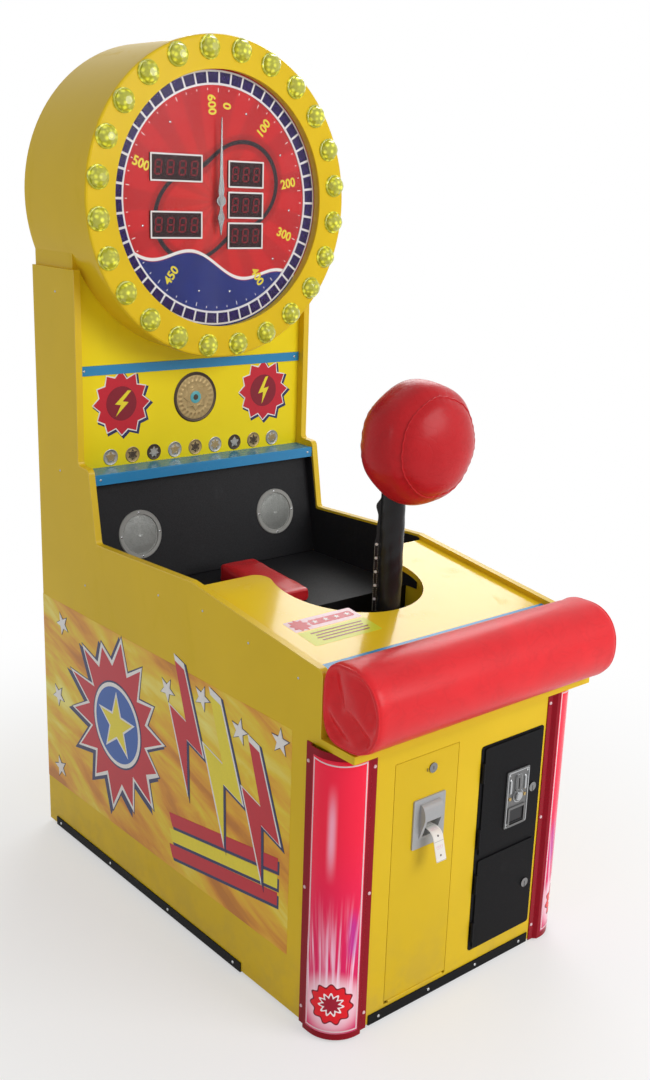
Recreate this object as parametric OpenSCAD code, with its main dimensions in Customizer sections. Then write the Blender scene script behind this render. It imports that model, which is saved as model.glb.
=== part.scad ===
// Boxing arcade machine: a tall cabinet with a bag on a folding arm, a round score dial in a lamp ring,
// a coin unit and a ticket unit. Millimetres, +Z up, the player stands on the -Y side.
// Lengths along y are measured from the face of the front panel and moved to the origin by placed().

/* [Cabinet] */
// Width over the side panels
cab_w = 760; // [720:5:820]
// Depth from the front panel to the back panel
cab_d = 1300; // [1280:5:1400]
// Thickness of the wooden panels
panel_t = 18; // [15:1:20]
// Height of the panels' lower edge above the floor
panel_z = 10; // [8:1:16]
// Height of the side panels' top above the floor
side_top = 1620; // [1580:5:1680]
// Thickness of the moulding on the panels' edges
moulding_t = 3; // [2:0.5:4]
// Gap between a door and its opening
door_gap = 1.5; // [1:0.5:3]
// Gap at a running or loose fit
fit_gap = 0.3; // [0.2:0.1:0.5]

/* [Side outline] */
// Front edge of the side panels behind the cushion
nose_y = 72; // [66:1:80]
// Height of the side panels at the cushion
nose_z = 877; // [860:1:900]
// Place of the highest point beside the pit
kink_y = 560; // [520:5:600]
// Height of that point
kink_z = 942; // [925:1:960]
// Foot of the slanted edge beside the speakers
step_y = 1000; // [980:5:1010]
// Height of that foot
step_z = 925; // [905:1:935]
// Top of the slanted edge
shoulder_y = 1033; // [1025:1:1045]
// Height of the shoulder
shoulder_z = 1117; // [1095:1:1140]
// Front edge of the tall upper part
upper_y = 1085; // [1070:1:1100]
// Rounding of the outline's corners
outline_r = 14; // [8:1:20]

/* [Base] */
// Height of the base board's underside
base_z = 60; // [55:1:75]
// Diameter of a levelling foot
foot_d = 45; // [35:1:55]
// Thickness of a levelling foot's disc
foot_t = 9; // [6:1:12]
// Diameter of the foot's stem
foot_stem_d = 12; // [8:1:16]
// Inset of the feet from the cabinet's corners
foot_inset = 80; // [70:1:110]
// Diameter of a transport wheel
wheel_d = 48; // [40:1:50]
// Width of a transport wheel
wheel_w = 20; // [16:1:26]
// Clearance of the transport wheels above the floor
wheel_lift = 4; // [3:1:6]
// Bore of a transport wheel
wheel_bore = 8.4; // [6.4:0.2:10.4]
// Distance of the transport wheels from the back
wheel_back = 170; // [150:5:220]
// Leg of the steel angle under the panels
rail_leg = 25; // [20:1:30]
// Thickness of the steel angle
rail_t = 3; // [2:0.5:4]
// Distance of the side rails from the front panel
rail_start = 340; // [200:5:400]

/* [Front] */
// Height of the front panel's top, under the ledge
ledge_z = 708; // [690:1:716]
// Thickness of the ledge
ledge_t = 18; // [15:1:22]
// How far the ledge stands out in front
ledge_out = 40; // [30:1:50]
// Half the width of the flat front panel
front_half = 292; // [285:1:300]
// Front edge of the side panels behind the corner covers
corner_y = 100; // [90:1:110]
// Thickness of the corner covers
cover_t = 2.5; // [2:0.5:4]
// Width of the corner covers' screw flanges
cover_flange = 15; // [12:1:18]
// How far the corner covers bulge out from the panels
cover_out = 11; // [8:1:14]
// Corner rounding of the covers
cover_r = 78; // [60:1:80]
// Diameter of a corner lamp tube
tube_d = 26; // [16:1:30]
// Length of a corner lamp tube
tube_len = 560; // [400:10:600]
// How far the cushion stands out in front of the panel
cushion_out = 113; // [100:1:125]
// Height of the cushion
cushion_h = 190; // [170:1:200]
// Half the length of the cushion
cushion_half = 385; // [378:1:392]
// Rounding of the cushion's end seams
cushion_rim = 24; // [16:1:32]

/* [Coin unit] */
// Middle of the coin unit across the front
coin_x = 161; // [155:1:165]
// Width of the coin frame
coin_w = 218; // [210:1:224]
// Height of the coin frame
coin_h = 544; // [520:1:560]
// Height of the coin frame's lower edge
coin_z = 68; // [64:1:76]
// Thickness of the frame's flange
coin_flange = 2; // [1.5:0.5:3]
// Depth of the frame's box
coin_depth = 26; // [22:1:30]
// Margin of the doors inside the flange
coin_margin = 6; // [5:0.5:8]
// Thickness of a coin door's plate
door_plate = 3; // [2:0.5:3]
// Depth of the tray behind a coin door
door_tray = 15; // [12:1:18]
// Share of the height that the lower door takes
lower_share = 0.46; // [0.4:0.01:0.5]
// Gap between the two coin doors
door_split = 14; // [10:1:20]
// Radius of a hinge barrel
barrel_r = 4; // [3.5:0.5:4]
// Diameter of a hinge pin
pin_d = 4; // [3:0.5:4]
// Width of the coin entry plate
entry_w = 80; // [72:1:86]
// Height of the coin entry plate
entry_h = 150; // [130:1:160]
// Width of the coin slot
slot_w = 3.5; // [2.5:0.5:5]
// Height of the coin slot
slot_h = 32; // [26:1:36]
// Diameter of the coin return button
return_d = 22; // [16:1:24]
// Travel of the coin return button
return_travel = 6; // [4:1:8]
// Width of the coin return opening
cup_w = 50; // [40:1:56]
// Height of the coin return opening
cup_h = 40; // [34:1:44]
// Depth of the coin return cup
cup_d = 38; // [32:1:44]
// Diameter of a lock's barrel
lock_d = 19; // [16:1:20]
// Diameter of a lock's head
lock_head = 24; // [22:1:28]
// Reach of a coin door lock's cam
coin_cam = 30; // [27:1:31]
// Distance of the coin door locks from the doors' edge
coin_lock_inset = 26; // [25:1:28]
// Reach of the rear lock's cam
rear_cam = 34; // [32:1:38]
// Distance of the rear lock from the rear door's edge
rear_lock_inset = 24; // [22:1:26]
// Length of the cash box
cash_len = 220; // [180:5:260]
// Height of the cash box
cash_h = 150; // [110:5:170]

/* [Ticket unit] */
// Middle of the ticket door across the front
ticket_x = -124; // [-128:1:-120]
// Width of the ticket door
ticket_w = 196; // [180:1:204]
// Height of the ticket door
ticket_h = 598; // [560:1:604]
// Height of the ticket door's lower edge
ticket_z = 48; // [46:1:60]
// Thickness of the ticket door
ticket_t = 12; // [10:1:15]
// Distance of the ticket lock below the door's top
ticket_lock_drop = 38; // [36:1:44]
// Middle of the ticket mouth across the front
mouth_x = -113; // [-120:1:-110]
// Height of the ticket mouth's middle
mouth_z = 479; // [440:1:500]
// Width of the ticket mouth's plate
mouth_w = 98; // [90:1:104]
// Height of the ticket mouth's plate
mouth_h = 122; // [110:1:130]
// Width of the ticket strip
strip_w = 32; // [26:1:40]
// Thickness of the ticket strip
strip_t = 0.8; // [0.6:0.2:1.2]
// Length of the ticket strip that hangs out
strip_len = 132; // [100:1:150]

/* [Deck and pit] */
// Distance of the deck below the side panels' edge
deck_drop = 10; // [6:1:14]
// Thickness of the deck
deck_t = 15; // [12:1:18]
// Radius of the round cut-out in the deck
cut_r = 192; // [176:1:200]
// Gap between the arm's sleeve and the front of the cut-out
cut_gap = 8; // [7:0.5:14]
// Rounding where the cut-out meets the deck's back edge
cut_fillet = 34; // [20:1:40]
// Width of the blue strip on the deck
deck_strip_w = 30; // [20:1:40]
// Thickness of the black liners in the pit
liner_t = 3; // [2:0.5:5]
// Thickness of the pit's floor boards
tub_t = 12; // [9:1:15]
// Height of the well's floor, under the arm
well_z = 727; // [727:1:735]
// Height of the pit's upper floor
pit_z = 790; // [780:1:800]
// Distance of the upper floor's front edge from the front panel
pit_y = 600; // [590:1:620]
// Width of the stop pad
pad_w = 116; // [100:1:130]
// Length of the stop pad
pad_len = 255; // [220:1:270]
// Height of the stop pad at its front
pad_front = 36; // [30:1:38]
// Height of the stop pad at its back
pad_rear = 60; // [50:1:62]
// Rounding of the stop pad's edges
pad_round = 9; // [5:0.5:12]
// Front edge of the stop pad
pad_y = 650; // [645:1:665]

/* [Arm and bag] */
// Distance of the arm's pivot from the front panel
pivot_y = 284; // [276:1:292]
// Height of the arm's pivot
pivot_z = 790; // [788:1:794]
// Outer diameter of the arm tube
arm_d = 50; // [45:1:52]
// Wall of the arm tube
arm_wall = 3; // [2:0.5:5]
// Wall of the vinyl sleeve on the arm
sleeve_wall = 3.7; // [2:0.1:5]
// How far the sleeve reaches into the bag
sleeve_tuck = 50; // [30:1:60]
// Width of the sleeve's closing flap
flap_w = 11; // [8:1:14]
// Thickness of the sleeve's closing flap
flap_t = 4; // [3:0.5:5]
// Height of the rubber stop above the pivot
stop_z = 62; // [60:1:66]
// Radius of the rubber stop
stop_r = 11; // [9:0.5:12]
// Radius of the latch disc on the arm's hub
latch_r = 48; // [46:1:50]
// Diameter of the pivot shaft
shaft_d = 25; // [20:1:28]
// Width of the arm's hub
hub_w = 90; // [70:1:100]
// Diameter of the arm's hub
hub_d = 62; // [54:1:66]
// Distance between the frame's cheeks
cheek_span = 128; // [116:1:140]
// Thickness of the frame's cheeks
cheek_t = 6; // [5:1:8]
// Length of the pivot frame's foot
foot_len = 160; // [140:2:180]
// How far the foot reaches out past a cheek
foot_side = 50; // [40:1:60]
// Diameter of a bearing's housing
bearing_d = 44; // [40:1:50]
// Radius of the speed sensor's slotted disc
sensor_r = 38; // [32:1:44]
// Height of the bag's middle above the pivot
bag_rise = 509; // [480:1:520]
// How far the bag's middle lies in front of the arm
bag_lead = 72; // [64:1:76]
// How far the arm tube runs up past the bag's middle
bag_plug = 42; // [20:1:50]
// Radius of the bag
bag_r = 145; // [130:1:155]
// Half the thickness of the bag
bag_half = 105; // [95:1:110]
// Radius of the bag's seams
bag_seam_r = 119; // [105:1:125]

/* [Speakers] */
// Distance of each speaker from the middle
speaker_x = 228; // [200:1:260]
// Distance of the speakers up the speaker board
speaker_rise = 138; // [110:1:160]
// Outer diameter of the speaker ring
speaker_d = 132; // [120:1:140]
// Width of the speaker ring
speaker_ring = 12; // [10:1:14]
// Depth of a speaker behind its ring
speaker_depth = 62; // [50:1:80]
// Distance of the speaker board's foot from the front panel
board_y = 1003; // [995:1:1010]
// Lean of the speaker board from upright
board_lean = 10.8; // [9:0.1:11]
// Thickness of the speaker board
board_t = 12; // [9:1:15]

/* [Upper front] */
// Distance of the upper front panel behind the side panels' edges
upper_inset = 21; // [16:1:26]
// Thickness of the upper front panel
upper_t = 12; // [9:1:15]
// Height of the blue shelf's top
shelf_z = 1103; // [1095:1:1108]
// Height of the blue shelf's lip
shelf_lip = 28; // [20:1:32]
// Thickness of the blue trims
trim_t = 3; // [2:0.5:4]
// Height of the upper blue strip's middle
band_z = 1362; // [1340:1:1364]
// Height of the upper blue strip
band_h = 25; // [20:1:30]

/* [Head] */
// Height of the dial's middle
dial_z = 1798; // [1790:1:1820]
// Outer radius of the head's drum
drum_r = 395; // [388:1:396]
// How far the lamp ring's rim stands out past the drum
ring_over = 7; // [3:1:12]
// Width of the lamp ring's face
ring_w = 82; // [76:1:90]
// Wall of the head's shell
shell_t = 6; // [4:1:8]
// Distance of the lamp ring's face from the front panel
ring_y = 975; // [965:1:985]
// Thickness of the lamp ring
ring_t = 14; // [12:1:18]
// Half the width of the head's neck
neck_half = 370; // [362:1:374]
// Number of lamps
lamp_count = 24; // [16:2:28]
// Gap between a lamp and the lamp ring's rim
lamp_margin = 1.5; // [1:0.5:6]
// Diameter of a lamp dome
lamp_d = 59; // [44:1:60]
// Height of a lamp dome
lamp_h = 27; // [18:1:32]

/* [Dial] */
// Distance of the dial plate behind the lamp ring's face
dial_back = 30; // [28:1:34]
// Thickness of the dial plate
dial_t = 3; // [2:0.5:4]
// Thickness of the clear cover
glass_t = 3; // [2:0.5:4]
// Number of windows in the score ring
window_count = 52; // [40:2:60]
// Radial width of the score ring
score_w = 36; // [30:1:40]
// Bar between the score ring's windows
score_bar = 6; // [4:0.5:8]
// Border of the score ring beside its windows
score_rim = 5; // [4:0.5:7]
// Length of the needle in front of its hub
needle_len = 205; // [180:1:215]
// Length of the needle's tail
needle_tail = 86; // [60:1:90]
// Greatest width of the needle's blade
needle_w = 18; // [14:1:22]
// Diameter of the needle's hub
needle_hub = 28; // [24:1:32]
// Thickness of the needle
needle_t = 3; // [2:0.5:4]
// Width of the needle motor's gearbox
motor_w = 64; // [50:1:70]
// Length of the needle motor
motor_len = 50; // [40:1:60]
// Diameter of the needle's spindle
spindle_d = 6; // [5:0.5:8]
// Height of the digit displays
digits_h = 68; // [60:1:72]
// Width of the four-digit displays
digits_wide = 156; // [140:1:160]
// Width of the three-digit displays
digits_narrow = 114; // [100:1:120]

/* [Back] */
// Width of the rear door
rear_w = 440; // [400:5:480]
// Height of the rear door
rear_h = 760; // [700:5:800]
// Height of the rear door's lower edge
rear_z = 240; // [220:5:300]
// Thickness of the rear door
rear_t = 15; // [12:1:18]
// How far the rear lock stands out
rear_proud = 6; // [6:0.5:8]
// Middle of the power inlet across the back
inlet_x = 270; // [260:1:280]
// Height of the power inlet's middle
inlet_z = 130; // [120:1:150]
// Width of the power supply
supply_w = 190; // [160:5:210]
// Depth of the power supply
supply_d = 120; // [100:5:140]
// Height of the power supply
supply_h = 58; // [45:1:70]
// Distance of the power supply's front from the back
supply_back = 420; // [300:10:500]
// Height of the control board over its plate
board_rise = 12; // [10:1:20]

/* [Hidden] */
$fn = 64;

YELLOW = [0.93, 0.78, 0.15];
RED = [0.82, 0.12, 0.14];
DEEP_RED = [0.62, 0.05, 0.09];
BLACK = [0.09, 0.09, 0.10];
BLUE = [0.16, 0.45, 0.70];
STEEL = [0.62, 0.63, 0.65];
GREY = [0.55, 0.56, 0.58];
PURPLE = [0.27, 0.19, 0.47];
WHITE = [0.93, 0.92, 0.90];
WOOD = [0.72, 0.58, 0.40];

eps = 0.01;
half_w = cab_w / 2;
inner_half = half_w - panel_t;
liner_half = inner_half - liner_t;
overall_d = cushion_out + cab_d + rear_proud;
front_y = cushion_out - overall_d / 2;
ledge_top = ledge_z + ledge_t;

// Moves a piece from the cabinet's measure to the origin under the machine's middle
module placed() translate([0, front_y, 0]) children();

// Extrudes an outline of (y, z) points across the machine from x0 to x1
module across(x0, x1) translate([x0, 0, 0]) rotate([90, 0, 90]) linear_extrude(x1 - x0) children();

// Extrudes an outline of (x, z) points from y0 towards the back
module deep(y0, t) translate([0, y0 + t, 0]) rotate([90, 0, 0]) linear_extrude(t) children();

// A cylinder along y from y0 towards the back
module rod_y(x, y0, z, d, len) translate([x, y0, z]) rotate([-90, 0, 0]) cylinder(d = d, h = len);

// A cylinder along x from x0
module rod_x(x0, y, z, d, len) translate([x0, y, z]) rotate([0, 90, 0]) cylinder(d = d, h = len);

// A box given by its corners
module box(a, b) translate(a) cube([b.x - a.x, b.y - a.y, b.z - a.z]);

// A rectangle with round corners, centred
module soft_rect(w, h, r, n = 24) {
    square([w - 2 * r, h], center = true);
    square([w, h - 2 * r], center = true);
    for (x = [-1, 1], z = [-1, 1]) translate([x * (w / 2 - r), z * (h / 2 - r)]) circle(r, $fn = n);
}

// A box that faces the front, centred on (x, z), with round corners
module front_box(x, z, w, h, r, y0, t) translate([x, 0, z]) deep(y0, t) soft_rect(w, h, r);

function unit(v) = v / norm(v);
function left_of(v) = [-v.y, v.x];
function turn(a, b, c) = (b.x - a.x) * (c.y - b.y) - (b.y - a.y) * (c.x - b.x);
function backwards(p) = [for (i = [len(p) - 1:-1:0]) p[i]];

// Points of the arc of radius r that rounds the corner b between a and c
function corner(a, b, c, r, n = 8) =
    let (u = unit(a - b), v = unit(c - b), half = acos(max(-1, min(1, u * v))) / 2,
        m = b + unit(u + v) * r / sin(half), p = b + u * r / tan(half), q = b + v * r / tan(half),
        a0 = atan2(p.y - m.y, p.x - m.x), sweep = (atan2(q.y - m.y, q.x - m.x) - a0 + 540) % 360 - 180)
    [for (i = [0:n]) m + r * [cos(a0 + sweep * i / n), sin(a0 + sweep * i / n)]];

// An open path with its inner corners rounded; corners that turn left get r - d, the others r + d
function rounded(p, r, d = 0) = concat([p[0]],
    [for (i = [1:len(p) - 2]) each corner(p[i - 1], p[i], p[i + 1],
        r + (turn(p[i - 1], p[i], p[i + 1]) < 0 ? d : -d))],
    [p[len(p) - 1]]);

// An open path moved to its left by d
function beside(p, d) = [for (i = [0:len(p) - 1])
    let (n = len(p) - 1,
        a = left_of(unit(p[min(i + 1, n)] - p[min(i, n - 1)])),
        b = left_of(unit(p[max(i, 1)] - p[max(i - 1, 0)])))
    p[i] + (a + b) * d / (1 + a * b)];

// The edge of the side panels from the cushion up to the head
side_edge = [[nose_y, ledge_top], [nose_y, nose_z], [kink_y, kink_z], [step_y, step_z],
    [shoulder_y, shoulder_z], [upper_y, shoulder_z + 2], [upper_y, side_top]];

module side_outline() polygon(concat(
    [[corner_y, panel_z], [cab_d, panel_z], [cab_d, side_top]],
    backwards(rounded(side_edge, outline_r)),
    [[nose_y, ledge_z], [corner_y, ledge_z]]));

// Cabinet shell

module side_panel(side) placed() color(YELLOW)
    across(side > 0 ? inner_half : -half_w, side > 0 ? half_w : -inner_half) side_outline();

module side_panel_left() side_panel(-1);
module side_panel_right() side_panel(1);

module edge_mouldings() placed() color(YELLOW) for (side = [0, 1]) mirror([side, 0, 0])
    across(inner_half, half_w) polygon(concat(rounded(side_edge, outline_r),
        backwards(rounded(beside(side_edge, moulding_t), outline_r, moulding_t))));

// The base board's left corner runs along the slanted post; the stems of the feet go through it
base_corner = [[-inner_half, corner_y + 22 + fit_gap], [-inner_half + 8 + fit_gap, corner_y + 22 + fit_gap],
    [-front_half + 24 + 2 * fit_gap, panel_t]];

module base_board() placed() color(WOOD) difference() {
    translate([0, 0, base_z]) linear_extrude(panel_t) polygon(concat(
        base_corner, [for (p = backwards(base_corner)) [-p.x, p.y]],
        [[inner_half, cab_d - panel_t], [-inner_half, cab_d - panel_t]]));
    at_feet() translate([0, 0, base_z - 1]) cylinder(d = foot_stem_d, h = panel_t + 2);
}

module at_feet() for (x = [-1, 1], y = [foot_inset + 40, cab_d - foot_inset])
    translate([x * (half_w - foot_inset), y, 0]) children();

rail_low = panel_z - rail_t;

// One steel angle: a flange under the panel and one on its face, which looks towards -x
module angle_rail(len) translate([-rail_t, 0, rail_low]) rotate([90, 0, 0]) mirror([0, 0, 1])
    linear_extrude(len) polygon([[0, 0], [rail_leg, 0], [rail_leg, rail_t], [rail_t, rail_t],
        [rail_t, rail_leg], [rail_t - 1, rail_leg + 1], [0, rail_leg + 1]]);

module base_rails() placed() color(BLACK) {
    side_len = cab_d - 44 - rail_start;
    for (side = [0, 1]) mirror([side, 0, 0])
        translate([-half_w, rail_start, 0]) angle_rail(side_len);
    front_len = 2 * (front_half - cover_flange - 6);
    translate([front_len / 2, 0, 0]) rotate(90) angle_rail(front_len);
}

module levelling_feet() placed() color(BLACK) at_feet() {
    cylinder(d = foot_d, h = foot_t - 3);
    translate([0, 0, foot_t - 3]) cylinder(d1 = foot_d, d2 = foot_d - 10, h = 3);
    cylinder(d = foot_stem_d, h = base_z + panel_t);
    for (z = [base_z - 9, base_z + panel_t]) translate([0, 0, z])
        cylinder(d = foot_stem_d * 2, h = 9, $fn = 6);
}

wheel_x = half_w - 150;
wheel_y = cab_d - wheel_back;
wheel_z = wheel_lift + wheel_d / 2;

module caster_brackets() placed() color(STEEL) for (side = [-1, 1])
    translate([side * wheel_x, wheel_y, 0]) {
        translate([0, 0, base_z - 2]) linear_extrude(2) soft_rect(66, 76, 8);
        for (cheek = [-1, 1]) translate([cheek * (wheel_w / 2 + 4) - 1.5, 0, 0])
            rotate([90, 0, 90]) linear_extrude(3)
                polygon([[-22, base_z - 2], [-9, wheel_z - 6], [9, wheel_z - 6], [22, base_z - 2]]);
        rod_x(-wheel_w / 2 - 9, 0, wheel_z, wheel_bore - 2 * fit_gap, wheel_w + 18);
        for (cheek = [-1, 1]) rod_x(cheek * (wheel_w / 2 + 7) - 2, 0, wheel_z, 13, 4);
    }

module caster_wheel(side) placed() color(BLACK) translate([side * wheel_x, wheel_y, wheel_z])
    rotate([0, 90, 0]) rotate_extrude($fn = 96) polygon([[wheel_bore / 2, -wheel_w / 2 - 2],
        [8, -wheel_w / 2 - 2], [8, -wheel_w / 2 + 2], [wheel_d / 2 - 6, -wheel_w / 2 + 2],
        [wheel_d / 2 - 5, -wheel_w / 2], [wheel_d / 2 - 1.5, -wheel_w / 2],
        [wheel_d / 2, -wheel_w / 2 + 4], [wheel_d / 2, wheel_w / 2 - 4],
        [wheel_d / 2 - 1.5, wheel_w / 2], [wheel_d / 2 - 5, wheel_w / 2],
        [wheel_d / 2 - 6, wheel_w / 2 - 2], [8, wheel_w / 2 - 2], [8, wheel_w / 2 + 2],
        [wheel_bore / 2, wheel_w / 2 + 2]]);

module caster_wheel_left() caster_wheel(-1);
module caster_wheel_right() caster_wheel(1);

// Back

rear_axis_x = -rear_w / 2 - 4.5;
rear_axis_y = cab_d + 1.5;
rear_barrel_z = [rear_z + 90, rear_z + rear_h - 150];
barrel_len = 60;

module back_panel() placed() color(YELLOW) {
    difference() {
        deep(cab_d - panel_t, panel_t) difference() {
            translate([-inner_half, panel_z]) square([2 * inner_half, side_top - panel_z]);
            translate([-rear_w / 2 - door_gap, rear_z - door_gap])
                square([rear_w + 2 * door_gap, rear_h + 2 * door_gap]);
            translate([inlet_x, inlet_z]) square([52, 30], center = true);
            for (i = [0:5], x = [-1, 1]) translate([x * 110, side_top - 260 + i * 26])
                soft_rect(160, 9, 4.4);
        }
        for (z = rear_barrel_z)
            box([rear_axis_x - 14, cab_d - 3, z - 21], [rear_axis_x + 5, cab_d + 9, z + 81]);
    }
    for (z = rear_barrel_z) {
        box([rear_axis_x - 14, cab_d - 3, z - 20], [rear_axis_x - barrel_r - fit_gap, cab_d, z + 80]);
        for (part = [-20, barrel_len + fit_gap]) translate([rear_axis_x, rear_axis_y, z + part]) {
            cylinder(r = barrel_r, h = 20 - fit_gap);
            translate([-barrel_r - 1, -3, 0]) cube([barrel_r, 2, 20 - fit_gap]);
        }
        translate([rear_axis_x, rear_axis_y, z - 20]) cylinder(d = pin_d, h = barrel_len + 40 - fit_gap);
    }
}

module rear_door() placed() color(YELLOW) difference() {
    union() {
        deep(cab_d - rear_t, rear_t) difference() {
            translate([-rear_w / 2, rear_z]) square([rear_w, rear_h]);
            for (i = [0:5]) translate([0, rear_z + 90 + i * 24]) soft_rect(220, 8, 3.9);
        }
        for (z = rear_barrel_z) {
            translate([rear_axis_x, rear_axis_y, z]) cylinder(r = barrel_r, h = barrel_len);
            box([rear_axis_x + 1.5, cab_d - 0.5, z], [-rear_w / 2 + 22, cab_d + 1.5, z + barrel_len]);
        }
    }
    for (z = rear_barrel_z) translate([rear_axis_x, rear_axis_y, z - 1])
        cylinder(d = pin_d + 2 * fit_gap, h = barrel_len + 2);
    rod_y(rear_lock_x, cab_d - rear_t - 1, rear_lock_z, lock_d + 2 * fit_gap, rear_t + 2);
}

rear_lock_x = rear_w / 2 - rear_lock_inset;
rear_lock_z = rear_z + rear_h / 2;
cam_t = 3;
cam_tip = 6;

// A cam lock about the y axis: the head stands out by proud in front of y = 0, the cam lies at cam_y.
// The cam points along (turn_x, turn_z) in the rest position and reaches out by reach.
module cam_lock(proud, cam_y, reach, turn_x, turn_z) {
    difference() {
        union() {
            rod_y(0, -proud, 0, lock_head, proud - fit_gap);
            rod_y(0, -fit_gap - eps, 0, lock_d, cam_y + cam_t + 3);
        }
        box([-1, -proud - 1, -4], [1, -proud + 2, 4]);
    }
    deep(cam_y, cam_t) hull() {
        circle(lock_d / 2 - 0.5, $fn = 32);
        translate([turn_x, turn_z] * (reach - cam_tip)) circle(cam_tip, $fn = 32);
    }
}

module rear_lock() placed() color(STEEL) translate([rear_lock_x, cab_d, rear_lock_z]) rotate(180)
    cam_lock(rear_proud, panel_t + 1, rear_cam, 0, -1);

rocker_r = 8;
rocker_w = 13;
rocker_x = 15;
socket_x = -9;
socket_y = -14;

// The inlet's flange and body, with the socket and its three blades, and the switch's pocket
module power_inlet() placed() color(BLACK) translate([inlet_x, cab_d, inlet_z]) {
    difference() {
        union() {
            deep(0, 2.5) soft_rect(62, 38, 5);
            deep(-30, 30) soft_rect(50, 28, 2);
        }
        translate([socket_x, 0, 0]) deep(socket_y, 17) soft_rect(24, 17, 3);
        translate([rocker_x, 0, 0]) {
            deep(-1, 4) square([rocker_w + 1, 2 * rocker_r + 2.4], center = true);
            rod_x(-rocker_w / 2 - 0.5, -1, 0, 2 * rocker_r + 2.4, rocker_w + 1);
        }
    }
    for (p = [[-7, -2], [0, 3], [7, -2]]) translate([socket_x + p.x, 0, p.y])
        deep(socket_y - eps, 10) square([2, 4], center = true);
}

module power_switch() placed() color(RED) translate([inlet_x + rocker_x, cab_d - 1, inlet_z])
    rotate([-8, 0, 0]) rotate([90, 0, 90]) linear_extrude(rocker_w, center = true) difference() {
        intersection() {
            circle(rocker_r);
            translate([-rocker_r, -rocker_r]) square([rocker_r + 3.5, 2 * rocker_r]);
        }
        translate([rocker_r + 14, 0]) circle(20);
    }

// Front

// The posts behind the corner covers run slantwise from the front panel to the side panels
post_front = [-front_half - 10, 0];
post_side = [-half_w + 6, corner_y - 12];

module corner_posts() for (side = [0, 1]) mirror([side, 0, 0])
    translate([0, 0, panel_z]) linear_extrude(ledge_z - panel_z) polygon([
        [-front_half, 0], [-front_half + 24, panel_t],
        [-inner_half + 8, corner_y + 22], [-inner_half, corner_y + 22],
        [-inner_half, corner_y], [-half_w + 6, corner_y], post_side, post_front]);

coin_left = coin_x - coin_w / 2;
coin_top = coin_z + coin_h;
coin_open_w = coin_w - 22;
coin_open_h = coin_h - 22;
ticket_top = ticket_z + ticket_h;
ticket_axis_z = ticket_z - 4;

module front_panel() placed() color(YELLOW) {
    deep(0, panel_t) difference() {
        translate([-front_half, panel_z]) square([2 * front_half, ledge_z - panel_z]);
        translate([coin_x, coin_z + coin_h / 2]) square([coin_open_w, coin_open_h], center = true);
        translate([ticket_x - ticket_w / 2 - door_gap, ticket_z - 8])
            square([ticket_w + 2 * door_gap, ticket_h + 8 + door_gap]);
    }
    corner_posts();
    for (i = [0, 2, 4]) ticket_knuckle(i, -1);
    rod_x(knuckle_x[0], 0, ticket_axis_z, ticket_pin_d, knuckle_x[4] - knuckle_x[0] + knuckle_len);
}

ticket_pin_d = pin_d - 1;
knuckle_len = (ticket_w - 20) / 5 - fit_gap;
knuckle_x = [for (i = [0:4]) ticket_x + (i - 2) * (knuckle_len + fit_gap) - knuckle_len / 2];

// A hinge barrel under the ticket door with its leaf, which runs up to the door or down to the panel
module ticket_knuckle(i, up) {
    rod_x(knuckle_x[i], 0, ticket_axis_z, 2 * barrel_r - 1, knuckle_len);
    leaf = [ticket_axis_z, ticket_axis_z + up * (ticket_z - ticket_axis_z + 1)];
    box([knuckle_x[i], 0, min(leaf)], [knuckle_x[i] + knuckle_len, 2, max(leaf)]);
}

// Cross-section of a corner cover in plan, for the left corner: from the side flange round to the front
cover_path = [[-half_w - cover_t, corner_y + cover_flange - 3],
    [-half_w - cover_t, corner_y - 3], [-half_w - cover_out, corner_y - 12],
    [-half_w - cover_out, -cover_out], [-front_half - 11, -cover_out],
    [-front_half - 2, -cover_t], [-front_half + cover_flange - 2, -cover_t]];

// The bulge of the cover, and its whole line with both flanges, for the corner radius r
function cover_bulge(p, r) = concat([p[1], p[2]], corner(p[2], p[3], p[4], r, 20), [p[4], p[5]]);
function cover_line(p, r) = concat([p[0]], cover_bulge(p, r), [p[6]]);

module corner_cover(side) placed() color(DEEP_RED) mirror([side > 0 ? 1 : 0, 0, 0])
    translate([0, 0, panel_z - 4]) {
        inside = beside(cover_path, cover_t);
        linear_extrude(ledge_z - panel_z + 4 - fit_gap) polygon(concat(
            cover_line(cover_path, cover_r), backwards(cover_line(inside, cover_r - cover_t))));
        linear_extrude(cover_t) polygon(cover_bulge(cover_path, cover_r));
    }

module corner_cover_left() corner_cover(-1);
module corner_cover_right() corner_cover(1);

// Each corner lamp: a tube between two holders that stand on the slanted post's face
holder_len = 22;
post_out = unit(left_of(post_side - post_front));
lamp_stand = tube_d / 2 + 6;
lamp_at = (post_front + post_side) / 2 + post_out * lamp_stand;

module corner_lamps() placed() color(WHITE) for (side = [0, 1]) mirror([side, 0, 0])
    translate([lamp_at.x, lamp_at.y, (ledge_z + panel_z - tube_len) / 2]) {
        cylinder(d = tube_d, h = tube_len);
        for (z = [-holder_len, tube_len]) translate([0, 0, z]) {
            cylinder(d = tube_d + 6, h = holder_len);
            rotate(atan2(-post_out.y, -post_out.x)) translate([0, -10, 0])
                cube([lamp_stand, 20, holder_len]);
        }
    }

// The ledge under the cushion, and the board behind it, which carries the deck's front edge
module front_ledge() placed() color(YELLOW) {
    box([-half_w, -ledge_out, ledge_z], [half_w, nose_y, ledge_top]);
    board_back = nose_y + panel_t;
    across(-inner_half, inner_half) polygon([[nose_y - eps, ledge_z], [board_back, ledge_z],
        [board_back, deck_under(board_back) - eps], [nose_y - eps, deck_under(nose_y) - eps]]);
}

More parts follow.
